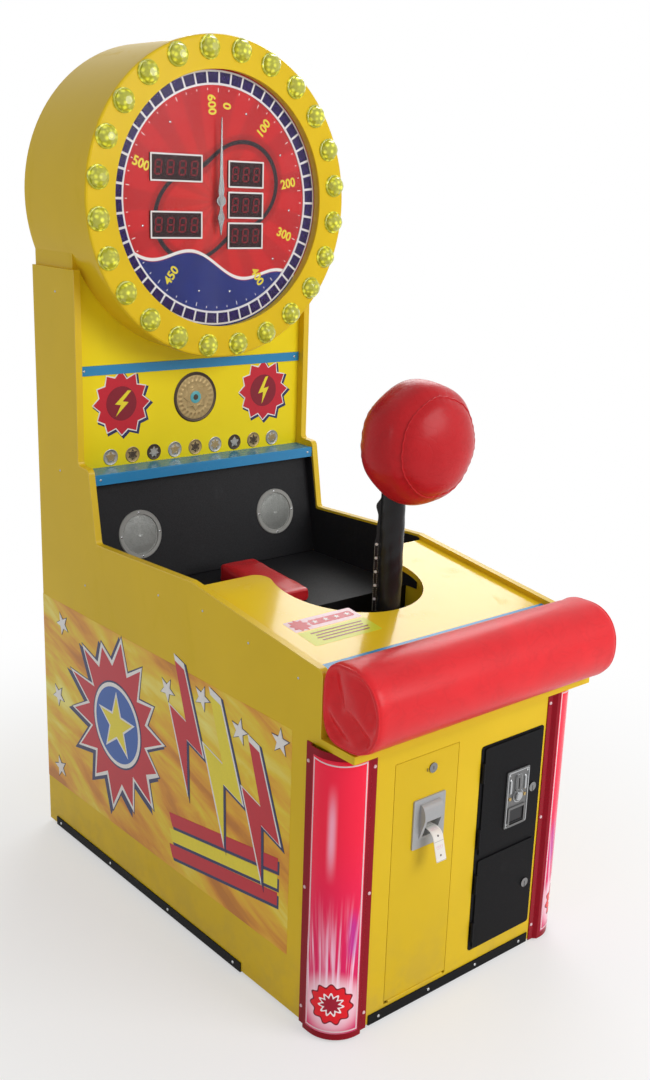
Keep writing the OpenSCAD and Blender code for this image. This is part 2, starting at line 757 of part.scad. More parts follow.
// A body through a stack of rings of n points each, from the first ring to the last
module loft(rings, n) {
    m = len(rings) / n;
    polyhedron(rings, concat([[for (i = [n - 1:-1:0]) i]],
        [for (k = [0:m - 2], i = [0:n - 1]) let (j = (i + 1) % n) each [
            [k * n + i, k * n + j, (k + 1) * n + i], [k * n + j, (k + 1) * n + j, (k + 1) * n + i]]],
        [[for (i = [0:n - 1]) (m - 1) * n + i]]));
}

// The cushion's cross-section: a flat back and a round front, a superellipse of two exponents
cushion_low = ledge_top + fit_gap;
cushion_back = nose_y - moulding_t - fit_gap;
cushion_mid = -20;
function power(v, e) = sign(v) * pow(abs(v), e);
function cushion_point(t) = [cushion_mid + (cos(t) > 0
        ? (cushion_back - cushion_mid) * power(cos(t), 0.45)
        : (cushion_mid + cushion_out) * power(cos(t), 0.92)),
    cushion_low + cushion_h / 2 + cushion_h / 2 * power(sin(t), cos(t) > 0 ? 0.8 : 0.9)];

// One ring of the cushion at x, drawn in by s towards its back
function cushion_ring(x, s, n) = [for (i = [0:n - 1])
    let (p = cushion_point(360 * i / n), m = [cushion_back, cushion_low + cushion_h / 2])
    [x, m.x + (p.x - m.x) * s, m.y + (p.y - m.y) * s]];

module front_cushion() placed() color(RED) {
    n = 40;
    draw = [for (i = [0:4]) let (a = 90 * i / 4) [cushion_half - cushion_rim * (1 - cos(a)) - 6,
        1 - 2 * cushion_rim * (1 - sin(a)) / cushion_h - 0.02]];
    body = [for (u = [1:-0.25:-1]) [u * (cushion_half - cushion_rim - 10), 1 - 0.02 * pow(abs(u), 3)]];
    stations = concat([[cushion_half, 0.25]],
        [for (d = draw) d], body, [for (d = backwards(draw)) [-d.x, d.y]], [[-cushion_half, 0.25]]);
    loft([for (s = stations) each cushion_ring(s.x, s.y, n)], n);
}

// Deck and pit

deck_slope = atan((kink_z - nose_z) / (kink_y - nose_y));
function deck_z(y) = nose_z - deck_drop + (y - nose_y) * tan(deck_slope);
function deck_under(y) = deck_z(y) - deck_t / cos(deck_slope);

// Plan of the deck, with v measured up its slope from the cushion board
sleeve_d = arm_d + 2 * (fit_gap + sleeve_wall);
cut_y = pivot_y - sleeve_d / 2 - cut_gap + cut_r;
deck_v = (kink_y - 6 - nose_y) / cos(deck_slope);
cut_v = (cut_y - nose_y) / cos(deck_slope);
cut_half = sqrt(pow(cut_r, 2) - pow(deck_v - cut_v, 2));

module deck_outline() difference() {
    translate([-inner_half, 0]) square([2 * inner_half, deck_v]);
    translate([0, cut_v]) circle(cut_r, $fn = 128);
    for (side = [0, 1]) mirror([side, 0]) cut_lip();
}

// The wedge that the fillet leaves free between the round cut-out and the deck's back edge
module cut_lip() {
    reach = sqrt(pow(cut_r + cut_fillet, 2) - pow(deck_v - cut_fillet - cut_v, 2));
    difference() {
        polygon([[0, cut_v], [reach, deck_v - cut_fillet], [reach, deck_v + 1], [0, deck_v + 1]]);
        translate([reach, deck_v - cut_fillet]) circle(cut_fillet, $fn = 64);
    }
}

module on_deck() translate([0, nose_y, deck_z(nose_y)]) rotate([deck_slope, 0, 0]) children();

module deck_plate() placed() color(YELLOW) on_deck()
    translate([0, 0, -deck_t]) linear_extrude(deck_t) deck_outline();

shelf_front = shoulder_y - 4;
upper_face = upper_y + upper_inset;

module blue_trims() placed() color(BLUE) {
    on_deck() translate([0, 10, 0]) linear_extrude(1.5) translate([-inner_half + 4, 0])
        square([2 * inner_half - 8, deck_strip_w]);
    across(-inner_half + 0.5, inner_half - 0.5) polygon([
        [upper_face, shelf_z], [upper_face, shelf_z - trim_t],
        [shelf_front + trim_t, shelf_z - trim_t], [shelf_front + trim_t, shelf_z - shelf_lip],
        [shelf_front, shelf_z - shelf_lip], [shelf_front, shelf_z - 2], [shelf_front + 2, shelf_z]]);
    box([-inner_half + 0.5, upper_face - trim_t, band_z - band_h / 2],
        [inner_half - 0.5, upper_face, band_z + band_h / 2]);
}

board_top = shelf_z - trim_t;
function board_at(z) = board_y + (z - pit_z) * tan(board_lean);

module pit_liners() placed() color(BLACK) for (side = [0, 1]) mirror([side, 0, 0])
    across(liner_half, inner_half) polygon([[kink_y - 3, pit_z], [board_at(pit_z), pit_z],
        [board_at(board_top - shelf_lip - 1), board_top - shelf_lip - 1],
        [shoulder_y - 4, board_top - shelf_lip - 1], [step_y + 2, step_z - 2], [step_y - 6, step_z - 4],
        [kink_y + 6, kink_z - 4], [kink_y - 3, kink_z - 6]]);

module pit_tub() placed() color(BLACK) across(-inner_half, inner_half) polygon([
    [nose_y + panel_t, well_z - tub_t], [pit_y + tub_t, well_z - tub_t], [pit_y + tub_t, pit_z - tub_t],
    [board_y + board_t, pit_z - tub_t], [board_y + board_t, pit_z], [pit_y, pit_z], [pit_y, well_z],
    [nose_y + panel_t, well_z]]);

// One ring of the stop pad at distance v from its front, drawn in by d on its top and sides
pad_crown = 1.5;
function pad_ring(v, d, n) = let (h = pad_front + (pad_rear - pad_front) * v / pad_len)
    [for (i = [0:n - 1]) let (t = 360 * (i + 0.5) / n, rise = sin(t) > 0 ? d : max(d, 0))
        [(pad_w / 2 - d) * power(cos(t), 0.24), v, h / 2 + (h / 2 - rise) * power(sin(t), 0.3)]];

// The stop pad: a padded wedge with a slight crown and round edges
module stop_pad() placed() color(RED) translate([0, pad_y, pit_z + fit_gap]) {
    n = 32;
    ends = [for (a = [0:30:90]) pad_round * [1 - sin(a), 1 - cos(a)]];
    stations = concat(backwards(ends), [[pad_len / 2, -pad_crown]],
        [for (e = ends) [pad_len - e.x, e.y]]);
    loft([for (s = stations) each pad_ring(s.x, s.y, n)], n);
}

// Places a child in the speaker board's plane: x across, y behind the board's face, z up the board
module on_board() translate([0, board_y, pit_z]) rotate([-board_lean, 0, 0]) children();

board_foot = board_t * tan(board_lean);
board_len = (board_top - pit_z) / cos(board_lean);

module speaker_board() placed() color(BLACK) on_board() deep(0, board_t) difference() {
    translate([-inner_half, board_foot]) square([2 * inner_half, board_len - board_foot]);
    for (x = [-1, 1]) translate([x * speaker_x, speaker_rise]) circle(d = speaker_hole);
}

module speakers() placed() color(GREY) on_board() for (x = [-1, 1])
    translate([x * speaker_x, 0, speaker_rise]) rotate([-90, 0, 0]) speaker();

speaker_inner = speaker_d / 2 - speaker_ring;
speaker_basket = speaker_inner + 2;
speaker_hole = 2 * speaker_basket + 2;

// A speaker about its own axis, with z towards the back: ring and domed grille in front, driver behind
module speaker() {
    r = speaker_d / 2;
    inner = speaker_inner;
    magnet = inner * 0.8;
    rotate_extrude($fn = 96) {
        polygon([[0, -1.5], [inner * 0.6, -1], [inner, 0], [inner + 1, -3], [r - 2, -3.5],
            [r, -1.5], [r, -fit_gap / 3], [speaker_basket, -fit_gap / 3], [0, 1]]);
        polygon([[0, 0], [speaker_basket, -0.2], [speaker_basket, board_t - 1],
            [inner * 0.72, speaker_depth / 2], [magnet, speaker_depth / 2 + 2],
            [magnet, speaker_depth], [0, speaker_depth]]);
    }
}

module upper_front_panel() placed() color(YELLOW) deep(upper_face, upper_t)
    translate([-inner_half, shelf_z - 60]) square([2 * inner_half, side_top - shelf_z + 60]);

// Head

// Outline of the head behind the upper panel: the drum, cut off at the side panels' top, on its neck
module head_outline(inset) intersection() {
    union() {
        circle(drum_r - inset, $fn = 160);
        translate([-neck_half + inset, side_top - dial_z + inset])
            square([2 * (neck_half - inset), dial_z - side_top]);
    }
    translate([-drum_r, side_top - dial_z + inset]) square([2 * drum_r, 2 * drum_r]);
}

drum_y = ring_y + ring_t;
ring_r = drum_r + ring_over;
window_r = ring_r - ring_w;
lamp_circle = ring_r - lamp_margin - lamp_d / 2;

module head_shell() placed() color(YELLOW) translate([0, 0, dial_z]) {
    neck_y = upper_face - 0.5;
    difference() {
        union() {
            rod_ring(drum_y, upper_face - drum_y, drum_r - shell_t, drum_r);
            deep(neck_y, cab_d - neck_y) head_outline(0);
        }
        deep(drum_y - 1, neck_y + shell_t + 2 - drum_y) intersection() {
            circle(drum_r - shell_t, $fn = 160);
            head_outline(shell_t);
        }
        deep(neck_y + shell_t, cab_d - neck_y - 2 * shell_t) head_outline(shell_t);
        translate([0, 0, side_top - dial_z]) box([-inner_half + 40, upper_face + 40, -1],
            [inner_half - 40, cab_d - 40, shell_t + 1]);
        for (i = [0:4], x = [-1, 1]) translate([x * 130, 0, 60 + i * 30])
            deep(cab_d - shell_t - 1, shell_t + 2) soft_rect(180, 10, 4.9);
    }
}

// A tube about the dial's axis, from y0 towards the back
module rod_ring(y0, len, r0, r1) translate([0, y0, 0]) rotate([-90, 0, 0]) rotate_extrude($fn = 160)
    translate([r0, 0]) square([r1 - r0, len]);

glass_y = ring_y + 5;
dial_y = ring_y + dial_back;
bezel_r = window_r + 4;

// The lamp ring with the collar that holds the clear cover in front and the dial plate behind
module head_ring() placed() color(YELLOW) translate([0, ring_y, dial_z]) rotate([-90, 0, 0])
    rotate_extrude($fn = 160) polygon([[window_r, 1], [window_r + 1, 0], [ring_r - 6, 0],
        [ring_r - 2, 1.4], [ring_r, 5], [ring_r, ring_t + 6], [drum_r + fit_gap, ring_t + 6],
        [drum_r + fit_gap, ring_t], [bezel_r + 6, ring_t], [bezel_r + 6, dial_back + dial_t],
        [bezel_r, dial_back + dial_t], [bezel_r, 5], [window_r, 5]]);

lamp_step = 360 / lamp_count;

module lamp_domes() placed() color("khaki") for (i = [0:lamp_count - 1])
    translate([0, ring_y, dial_z]) rotate([0, (i + 0.5) * lamp_step, 0]) translate([0, 0, lamp_circle])
        rotate([90, 0, 0]) rotate_extrude($fn = 48) lamp_profile();

// A lamp's dome on its base ring, revolved about its own axis
module lamp_profile() {
    r = lamp_d / 2;
    polygon(concat([[0, 0], [r, 0], [r, 4], [r - 2, 6]],
        [for (a = [0:15:90]) [(r - 3) * cos(a), 6 + (lamp_h - 6) * sin(a)]]));
}

module dial_plate() placed() color(RED) difference() {
    rod_y(0, dial_y, dial_z, 2 * (bezel_r - fit_gap / 3), dial_t);
    rod_y(0, dial_y - 1, dial_z, spindle_d + 4, dial_t + 2);
}

score_out = window_r - 1;
score_in = score_out - score_w;
score_step = 360 / window_count;
score_t = 3;

// One window of the score ring, from the inner to the outer rim, narrowed by the bars and by grow
module score_window(grow) {
    r0 = score_in + score_rim - grow;
    r1 = score_out - score_rim + grow;
    half0 = r0 * tan(score_step / 2) - score_bar / 2 + grow;
    half1 = r1 * tan(score_step / 2) - score_bar / 2 + grow;
    polygon([[-half0, r0], [half0, r0], [half1, r1], [-half1, r1]]);
}

module score_ring() placed() color(WHITE) translate([0, 0, dial_z]) deep(dial_y - score_t, score_t)
    difference() {
        circle(score_out, $fn = 160);
        circle(score_in, $fn = 160);
        for (i = [0:window_count - 1]) rotate((i + 0.5) * score_step) score_window(0);
    }

module score_lenses() placed() color(PURPLE) translate([0, 0, dial_z]) deep(dial_y - score_t - 1, score_t + 1)
    for (i = [0:window_count - 1]) rotate((i + 0.5) * score_step) score_window(-0.1);

module dial_glass() placed() color([0.85, 0.9, 0.95, 0.3])
    rod_y(0, glass_y, dial_z, 2 * (bezel_r - fit_gap / 3), glass_t);

needle_y = glass_y + glass_t + 4;

// The needle points up in the rest position: a slim blade, a hub, and a short leaf-shaped tail
module needle() placed() color(STEEL) translate([0, 0, dial_z]) {
    deep(needle_y, needle_t) union() {
        for (side = [0, 1]) mirror([side, 0]) {
            polygon([[-eps, 0], [-eps, needle_len], [1, needle_len], [0.28 * needle_w, 0.3 * needle_len],
                [needle_w / 2, 0.13 * needle_len], [needle_w / 3, 0]]);
            polygon([[-eps, 0], [needle_w / 3, 0], [0.22 * needle_w, -0.26 * needle_tail],
                [0.6 * needle_w, -needle_tail / 2], [0.28 * needle_w, -0.72 * needle_tail],
                [1, -needle_tail], [-eps, -needle_tail]]);
        }
        circle(needle_hub / 2);
    }
    rod_y(0, needle_y - 2, 0, 0.57 * needle_hub, 2 + eps);
    rod_y(0, needle_y, 0, spindle_d, dial_y + dial_t + 8 - needle_y);
}

module needle_motor() placed() color(STEEL) translate([0, 0, dial_z]) difference() {
    union() {
        deep(dial_y + dial_t, motor_w / 4) soft_rect(motor_w, motor_w, motor_w / 6);
        rod_y(0, dial_y + dial_t + motor_w / 4, 0, 0.8 * motor_w, motor_len - motor_w / 4);
        rod_y(0, dial_y + dial_t + motor_len, 0, motor_w / 4, 4);
    }
    rod_y(0, dial_y + dial_t - 1, 0, spindle_d + 2 * fit_gap, 12);
}

// A digit display: a pale frame round a dark window with a row of digit cells
module digit_display(x, z, w, cells) translate([x, 0, z]) difference() {
    deep(dial_y - 5, 5) soft_rect(w, digits_h, 2);
    deep(dial_y - 6, 2.5) square([w - 8, digits_h - 8], center = true);
    for (i = [0:cells - 1]) translate([(i - (cells - 1) / 2) * (w - 12) / cells, 0, 0])
        deep(dial_y - 4, 1) square([(w - 12) / cells - 5, digits_h - 16], center = true);
}

module digit_displays() placed() color(WHITE) translate([0, 0, dial_z]) {
    for (z = [78, -62]) digit_display(-128, z, digits_wide, 4);
    for (z = [68, -10, -88]) digit_display(88, z, digits_narrow, 3);
}

// Coin unit

coin_hinge_x = coin_left + coin_margin - 1;
coin_hinge_y = -coin_flange - barrel_r - 0.5;
coin_door_w = coin_w - 2 * coin_margin;
coin_inner_h = coin_h - 2 * coin_margin - door_split;
lower_h = coin_inner_h * lower_share;
upper_h = coin_inner_h - lower_h;
lower_z = coin_z + coin_margin;
upper_z = lower_z + lower_h + door_split;
frame_x0 = coin_x - coin_open_w / 2 + 4;
frame_x1 = coin_x + coin_open_w / 2 - 4;

// Heights of a door's two hinge barrels
function hinge_zs(z, h) = [z + 34, z + h - 34 - 40];

module coin_frame() placed() color(BLACK) {
    difference() {
        union() {
            front_box(coin_x, coin_z + coin_h / 2, coin_w, coin_h, 8, -coin_flange, coin_flange);
            front_box(coin_x, coin_z + coin_h / 2, coin_open_w - 2, coin_open_h - 2, 2, -0.5, coin_depth);
        }
        for (d = [[lower_z, lower_h], [upper_z, upper_h]])
            box([frame_x0, -coin_flange - 1, d.x + 4], [frame_x1, coin_depth + 1, d.x + d.y - 4]);
    }
    for (d = [[lower_z, lower_h], [upper_z, upper_h]], z = hinge_zs(d.x, d.y)) {
        for (part = [-12, 28 + fit_gap]) {
            translate([coin_hinge_x, coin_hinge_y, z + part]) cylinder(r = barrel_r, h = 12 - fit_gap);
            box([coin_hinge_x - barrel_r, coin_hinge_y, z + part],
                [coin_hinge_x, -coin_flange + eps, z + part + 12 - fit_gap]);
        }
        translate([coin_hinge_x, coin_hinge_y, z - 12]) cylinder(d = pin_d, h = 52 - fit_gap);
    }
}

// A coin door: a plate with round corners, a tray behind it and two hinge barrels
module coin_door(z, h) difference() {
    union() {
        difference() {
            front_box(coin_x, z + h / 2, coin_door_w, h, 12, coin_hinge_y + 1, door_plate);
            box([coin_left, coin_hinge_y - 9, z - 1], [coin_hinge_x + 5, coin_hinge_y + 9, z + h + 1]);
        }
        difference() {
            box([frame_x0 + 4, coin_hinge_y + 2, z + 4 + door_gap],
                [frame_x1 - 4, coin_hinge_y + door_tray, z + h - 4 - door_gap]);
            box([frame_x0 + 6, coin_hinge_y + 1 + door_plate, z + 6 + door_gap],
                [frame_x1 - 6, coin_hinge_y + door_tray + 1, z + h - 6 - door_gap]);
        }
        for (zb = hinge_zs(z, h)) {
            translate([coin_hinge_x, coin_hinge_y, zb]) cylinder(r = barrel_r, h = 28);
            box([coin_hinge_x, door_face, zb], [coin_hinge_x + 8, door_face + door_plate, zb + 28]);
        }
    }
    for (zb = hinge_zs(z, h)) translate([coin_hinge_x, coin_hinge_y, zb - 1])
        cylinder(d = pin_d + 2 * fit_gap, h = 30);
}

coin_lock_x = coin_x + coin_door_w / 2 - coin_lock_inset;
upper_lock_z = upper_z + upper_h * 0.47;
lower_lock_z = lower_z + lower_h * 0.5;
door_face = coin_hinge_y + 1;
coin_cam_y = coin_depth + 2;

entry_x = coin_x + 21;
entry_z = upper_z + upper_h * 0.43;
entry_y = door_face - 3;
slot_z = entry_z + entry_h / 2 - 38;
button_z = entry_z + 6;
button_x = entry_x;
cup_z = entry_z - entry_h / 2 + cup_h / 2 + 8;

module coin_door_upper() placed() color(BLACK) difference() {
    coin_door(upper_z, upper_h);
    rod_y(coin_lock_x, door_face - 1, upper_lock_z, lock_d + 2 * fit_gap, door_plate + 2);
    front_box(entry_x, entry_z, entry_w - 12, entry_h - 12, 3, door_face - 1, door_plate + 2);
}

module coin_door_lower() placed() color(BLACK) difference() {
    coin_door(lower_z, lower_h);
    rod_y(coin_lock_x, door_face - 1, lower_lock_z, lock_d + 2 * fit_gap, door_plate + 2);
}

// The entry plate with its slot, button bezel and return cup, and the coin acceptor behind it
module coin_mech() placed() color(STEEL) difference() {
    union() {
        front_box(entry_x, entry_z, entry_w, entry_h, 4, entry_y, 3);
        front_box(entry_x, entry_z, entry_w - 13, entry_h - 13, 3, entry_y + 1, door_plate + 3);
        front_box(entry_x, slot_z, 18, slot_h + 16, 4, entry_y - 4, 5);
        rod_y(button_x, entry_y - 4, button_z, return_d + 8, 5);
        front_box(entry_x, cup_z, cup_w + 12, cup_h + 12, 4, entry_y - 3, 4);
        front_box(entry_x, entry_z + 10, entry_w - 24, entry_h - 34, 2, door_face + door_plate, 52);
        front_box(entry_x, cup_z, cup_w + 6, cup_h + 6, 2, door_face + door_plate, cup_d);
    }
    box([entry_x - slot_w / 2, entry_y - 5, slot_z - slot_h / 2],
        [entry_x + slot_w / 2, entry_y + 30, slot_z + slot_h / 2]);
    rod_y(button_x, entry_y - 5, button_z, return_d + 2 * fit_gap, 17 + return_travel);
    box([entry_x - cup_w / 2, entry_y - 4, cup_z - cup_h / 2],
        [entry_x + cup_w / 2, door_face + cup_d, cup_z + cup_h / 2]);
}

module coin_return_button() placed() color(RED) {
    rod_y(button_x, entry_y - 9, button_z, return_d - 4, 2);
    rod_y(button_x, entry_y - 7, button_z, return_d, 17);
}

flap_axis_z = cup_z + cup_h / 2 - 3;
flap_axis_y = entry_y + 1;

// The flap hangs from a pin across the top of the return cup
module coin_return_flap() placed() color(STEEL) {
    rod_x(entry_x - cup_w / 2 + fit_gap, flap_axis_y, flap_axis_z, 4, cup_w - 2 * fit_gap);
    box([entry_x - cup_w / 2 + 1.5, flap_axis_y - 1, flap_axis_z - cup_h + 6],
        [entry_x + cup_w / 2 - 1.5, flap_axis_y + 1, flap_axis_z]);
    box([entry_x - cup_w / 2 + 1.5, flap_axis_y - 3, flap_axis_z - cup_h + 6],
        [entry_x + cup_w / 2 - 1.5, flap_axis_y - 1 + eps, flap_axis_z - cup_h + 8]);
}

module coin_lock(z) placed() color(STEEL) translate([coin_lock_x, door_face, z])
    cam_lock(3, coin_cam_y - door_face, coin_cam, 0, -1);

module upper_lock() coin_lock(upper_lock_z);
module lower_lock() coin_lock(lower_lock_z);

cash_y = coin_depth + 12;
cash_w = coin_open_w - 50;
cash_z = base_z + panel_t;

cash_x = coin_x - 10;
handle_z = cash_z + cash_h * 0.6;

// An open box with a handle, which stands on the base board behind the lower door
module cash_box() placed() color(STEEL) {
    difference() {
        box([cash_x - cash_w / 2, cash_y, cash_z],
            [cash_x + cash_w / 2, cash_y + cash_len, cash_z + cash_h]);
        box([cash_x - cash_w / 2 + 2, cash_y + 2, cash_z + 2],
            [cash_x + cash_w / 2 - 2, cash_y + cash_len - 2, cash_z + cash_h + 1]);
    }
    for (x = [-40, 34]) box([cash_x + x, cash_y - 8, handle_z], [cash_x + x + 6, cash_y + eps, handle_z + 8]);
    box([cash_x - 40, cash_y - 10, handle_z], [cash_x + 40, cash_y - 8 + eps, handle_z + 8]);
}

// Ticket unit

ticket_lock_x = mouth_x + 6;
ticket_lock_z = ticket_top - ticket_lock_drop;

module ticket_door() placed() color(YELLOW) {
    difference() {
        translate([ticket_x, 0, ticket_z + ticket_h / 2]) deep(0, ticket_t)
            square([ticket_w, ticket_h], center = true);
        rod_y(ticket_lock_x, -1, ticket_lock_z, lock_d + 2 * fit_gap, ticket_t + 2);
        front_box(mouth_x, mouth_z, mouth_w - 24, mouth_h - 24, 4, -1, ticket_t + 2);
    }
    difference() {
        for (i = [1, 3]) ticket_knuckle(i, 1);
        rod_x(knuckle_x[0], 0, ticket_axis_z, ticket_pin_d + 2 * fit_gap, ticket_w);
    }
}

mouth_t = 4;
mouth_slot_w = strip_w + 12;
mouth_slot_h = 66;

// The ticket mouth: a flat plate, a curved hood over the opening, and a slide behind it
module ticket_mouth() placed() color(GREY) {
    difference() {
        union() {
            front_box(mouth_x, mouth_z, mouth_w, mouth_h, 3, -mouth_t, mouth_t);
            translate([mouth_x, 0, mouth_z]) across(-mouth_slot_w / 2 - 8, mouth_slot_w / 2 + 8)
                polygon(concat(hood_curve(0), [[-mouth_t, -mouth_slot_h / 2 - 6]]));
            front_box(mouth_x, mouth_z, mouth_w - 26, mouth_h - 26, 3, -0.5, ticket_t);
        }
        translate([mouth_x, 0, mouth_z]) across(-mouth_slot_w / 2, mouth_slot_w / 2)
            polygon(concat([[-mouth_t + 3, mouth_slot_h / 2 + 4]], hood_curve(3),
                [[-mouth_t - 30, -mouth_slot_h / 2], [ticket_t + 1, -mouth_slot_h / 2],
                [ticket_t + 1, mouth_slot_h / 2 + 4]]));
    }
}

// The hood's front line from top to bottom, pulled in by d
function hood_curve(d) = [for (a = [0:15:90])
    [-mouth_t - (18 - d) * sin(a), mouth_slot_h / 2 + 16 - d * 1.6 - (34 - d) * (1 - cos(a))]];

module ticket_lock() placed() color(STEEL) translate([ticket_lock_x, 0, ticket_lock_z])
    cam_lock(3, panel_t + 1, ticket_lock_drop + 12, -1, 0);

disp_y = ticket_t;
disp_d = 110;
drum_back = 26;
drum_rise = 4;
feed_r = 15;
pinch_r = 6;

// The dispenser on the ticket door's back: side plates, feed drum, pinch roller, motor and guides
module ticket_dispenser() placed() color(GREY) translate([mouth_x, disp_y, mouth_z]) {
    side_x = mouth_w / 2 - 9;
    for (x = [-side_x, side_x - 3]) box([x, 0, -60], [x + 3, disp_d, 50]);
    inner_x = side_x - 2;
    box([-inner_x, 0, -60], [inner_x, disp_d, -52]);
    box([-inner_x, disp_d - 46, -52 - eps], [inner_x, disp_d - 4, 20]);
    box([-inner_x, 0, 44], [inner_x, 30, 50]);
    rod_x(-inner_x, drum_back, drum_rise, 2 * feed_r, 2 * inner_x);
    rod_x(-inner_x, drum_back, drum_rise - feed_r - strip_t - 2 * fit_gap - pinch_r, 2 * pinch_r,
        2 * inner_x);
}

strip_z = mouth_z + drum_rise - feed_r - fit_gap;
bend_len = 46;

// The hanging ticket strip: out of the mouth, over its lip, then down along a gentle curve
function strip_at(s) = let (a = min(1, s / bend_len) * 74, rest = max(0, s - bend_len))
    [-mouth_t - 4 - 27 * sin(a) - rest * 0.26, strip_z - 22 * (1 - cos(a)) - rest * 0.93];

module ticket_strip() placed() color(WHITE) translate([mouth_x, 0, 0]) {
    line = concat([[disp_y + drum_back + 4, strip_z], [0, strip_z]],
        [for (s = [4:8:strip_len]) strip_at(s)]);
    across(-strip_w / 2, strip_w / 2) polygon(concat(line, backwards(beside(line, strip_t))));
}

// Arm and bag

module at_pivot() translate([0, pivot_y, pivot_z]) children();

hub_cone = 26;
hub_top = hub_d / 2 - 4;
latch_w = 12;

// How far the arm folds back before its sleeve meets the stop pad's front edge, less a small rest
pad_edge = [pad_y - pivot_y, pit_z + fit_gap + pad_front - pivot_z];
fold = acos(sleeve_d / 2 / norm(pad_edge)) - atan2(pad_edge.y, pad_edge.x) - 1.5;

// Direction of the latch disc's notch: it meets the plunger once the arm has folded back
plunger_z = 3 - latch_r;
notch_a = fold - acos(sqrt(pow(latch_r, 2) - pow(plunger_z, 2)) / latch_r);

// The arm: a tube on a hub with a cone, and the latch disc with its notch round the hub
module punch_arm() placed() color(STEEL) at_pivot() difference() {
    union() {
        cylinder(d = arm_d, h = bag_rise + bag_plug);
        rod_x(-hub_w / 2, 0, 0, hub_d, hub_w);
        translate([0, 0, hub_top]) cylinder(d1 = hub_d + 6, d2 = arm_d, h = hub_cone);
        rod_x(-latch_w / 2, 0, 0, 2 * latch_r, latch_w);
    }
    translate([0, 0, hub_d / 2 + 2]) cylinder(d = arm_d - 2 * arm_wall, h = bag_rise + bag_plug);
    rod_x(-hub_w / 2 - 1, 0, 0, shaft_d, hub_w + 2);
    rotate([notch_a, 0, 0]) translate([-latch_w, latch_r - 10, -6]) cube([2 * latch_w, 20, 12]);
}

// The bag's half section: y along its axis, r from it, as a fat superellipse of two exponents
round_exp = 0.86;
flat_exp = 0.92;
function bag_edge(a) = [bag_r * power(cos(a), round_exp), bag_half * power(sin(a), flat_exp)];
seam_a = acos(pow(bag_seam_r / bag_r, 1 / round_exp));

// Radius of the bag at the arm's axis, and from it the height where the sleeve ends inside
arm_a = asin(pow(bag_lead / bag_half, 1 / flat_exp));
sleeve_top = bag_rise - bag_edge(arm_a).x + sleeve_tuck;
sleeve_start = stop_z + stop_r + 4;
sleeve_len = sleeve_top - sleeve_start;

// The vinyl sleeve with its closing flap along the back
module arm_sleeve() placed() color(BLACK) at_pivot() translate([0, 0, sleeve_start]) difference() {
    union() {
        cylinder(d = sleeve_d, h = sleeve_len);
        rotate(48) translate([-flap_t / 2, sleeve_d / 2 - 2, 0])
            cube([flap_t, flap_w + 2, sleeve_len - sleeve_tuck - bag_r / 3]);
    }
    translate([0, 0, -1]) cylinder(d = arm_d + 2 * fit_gap, h = sleeve_len + 2);
}

// The bag, with shallow grooves at its two seams and the sockets for the sleeve and the arm
module punch_bag() placed() color(RED) at_pivot() translate([0, 0, bag_rise]) difference() {
    translate([0, -bag_lead, 0]) rotate([-90, 0, 0]) rotate_extrude($fn = 128) bag_profile();
    translate([0, 0, -bag_r - 1]) {
        cylinder(d = sleeve_d + 2 * fit_gap, h = sleeve_top - bag_rise + bag_r + 2);
        cylinder(d = arm_d + 2 * fit_gap, h = bag_r + 1 + bag_plug + 2);
    }
}

module bag_profile() difference() {
    polygon(concat([[0, -bag_half]], [for (a = [-84:6:84]) bag_edge(a)], [[0, bag_half]]));
    for (a = [-seam_a, seam_a]) translate(bag_edge(a)) circle(1.6, $fn = 16);
}

cheek_x = cheek_span / 2;
bearing_h = 20;
plate_t = 6;
foot_z = well_z - pivot_z;

// The shaft, with a slotted disc on its right end for the speed sensor
module pivot_shaft() placed() color(STEEL) at_pivot() {
    half = cheek_x + cheek_t + bearing_h + 10;
    rod_x(-half, 0, 0, shaft_d, 2 * half);
    translate([half - 6, 0, 0]) rotate([90, 0, 90]) linear_extrude(2) difference() {
        circle(sensor_r);
        for (i = [0:17]) rotate(i * 20) translate([0.8 * sensor_r, -sensor_r / 17])
            square([sensor_r, sensor_r / 8.5]);
    }
}

stop_y = -arm_d / 2 - fit_gap - stop_r;

// The frame: a base plate, two cheeks, and the rod with the rubber stop in front of the arm
module pivot_frame() placed() color(BLACK) at_pivot() {
    top = hub_d / 2 + 5;
    box([-cheek_x - foot_side, -0.44 * foot_len, foot_z],
        [cheek_x + foot_side, 0.56 * foot_len, foot_z + plate_t]);
    for (side = [0, 1]) mirror([side, 0, 0]) difference() {
        across(cheek_x, cheek_x + cheek_t) polygon([
            [-0.4 * foot_len, foot_z + plate_t - eps], [0.4 * foot_len, foot_z + plate_t - eps],
            [hub_d / 2, top], [-hub_d / 4, top], [stop_y + 8, stop_z + 8], [stop_y - 8, stop_z + 8],
            [-0.35 * foot_len, 0]]);
        rod_x(cheek_x - 1, 0, 0, shaft_d + 4, cheek_t + 2);
    }
    rod_x(-cheek_x - eps, stop_y, stop_z, 12, cheek_span + 2 * eps);
    rod_x(-18, stop_y, stop_z, 2 * stop_r, 36);
}

// Two flanged bearings on the cheeks' outer faces
module pillow_blocks() placed() color(GREY) at_pivot() for (side = [0, 1]) mirror([side, 0, 0])
    translate([cheek_x + cheek_t, 0, 0]) rotate([90, 0, 90]) difference() {
        union() {
            linear_extrude(8) hull() for (side = [-1, 1])
                translate([side * 0.68 * bearing_d, 0]) circle(10, $fn = 32);
            cylinder(r = bearing_d / 2 + 2, h = 8);
            cylinder(d1 = bearing_d, d2 = bearing_d - 8, h = bearing_h);
        }
        translate([0, 0, -1]) cylinder(d = shaft_d + 2 * fit_gap, h = bearing_h + 2);
    }

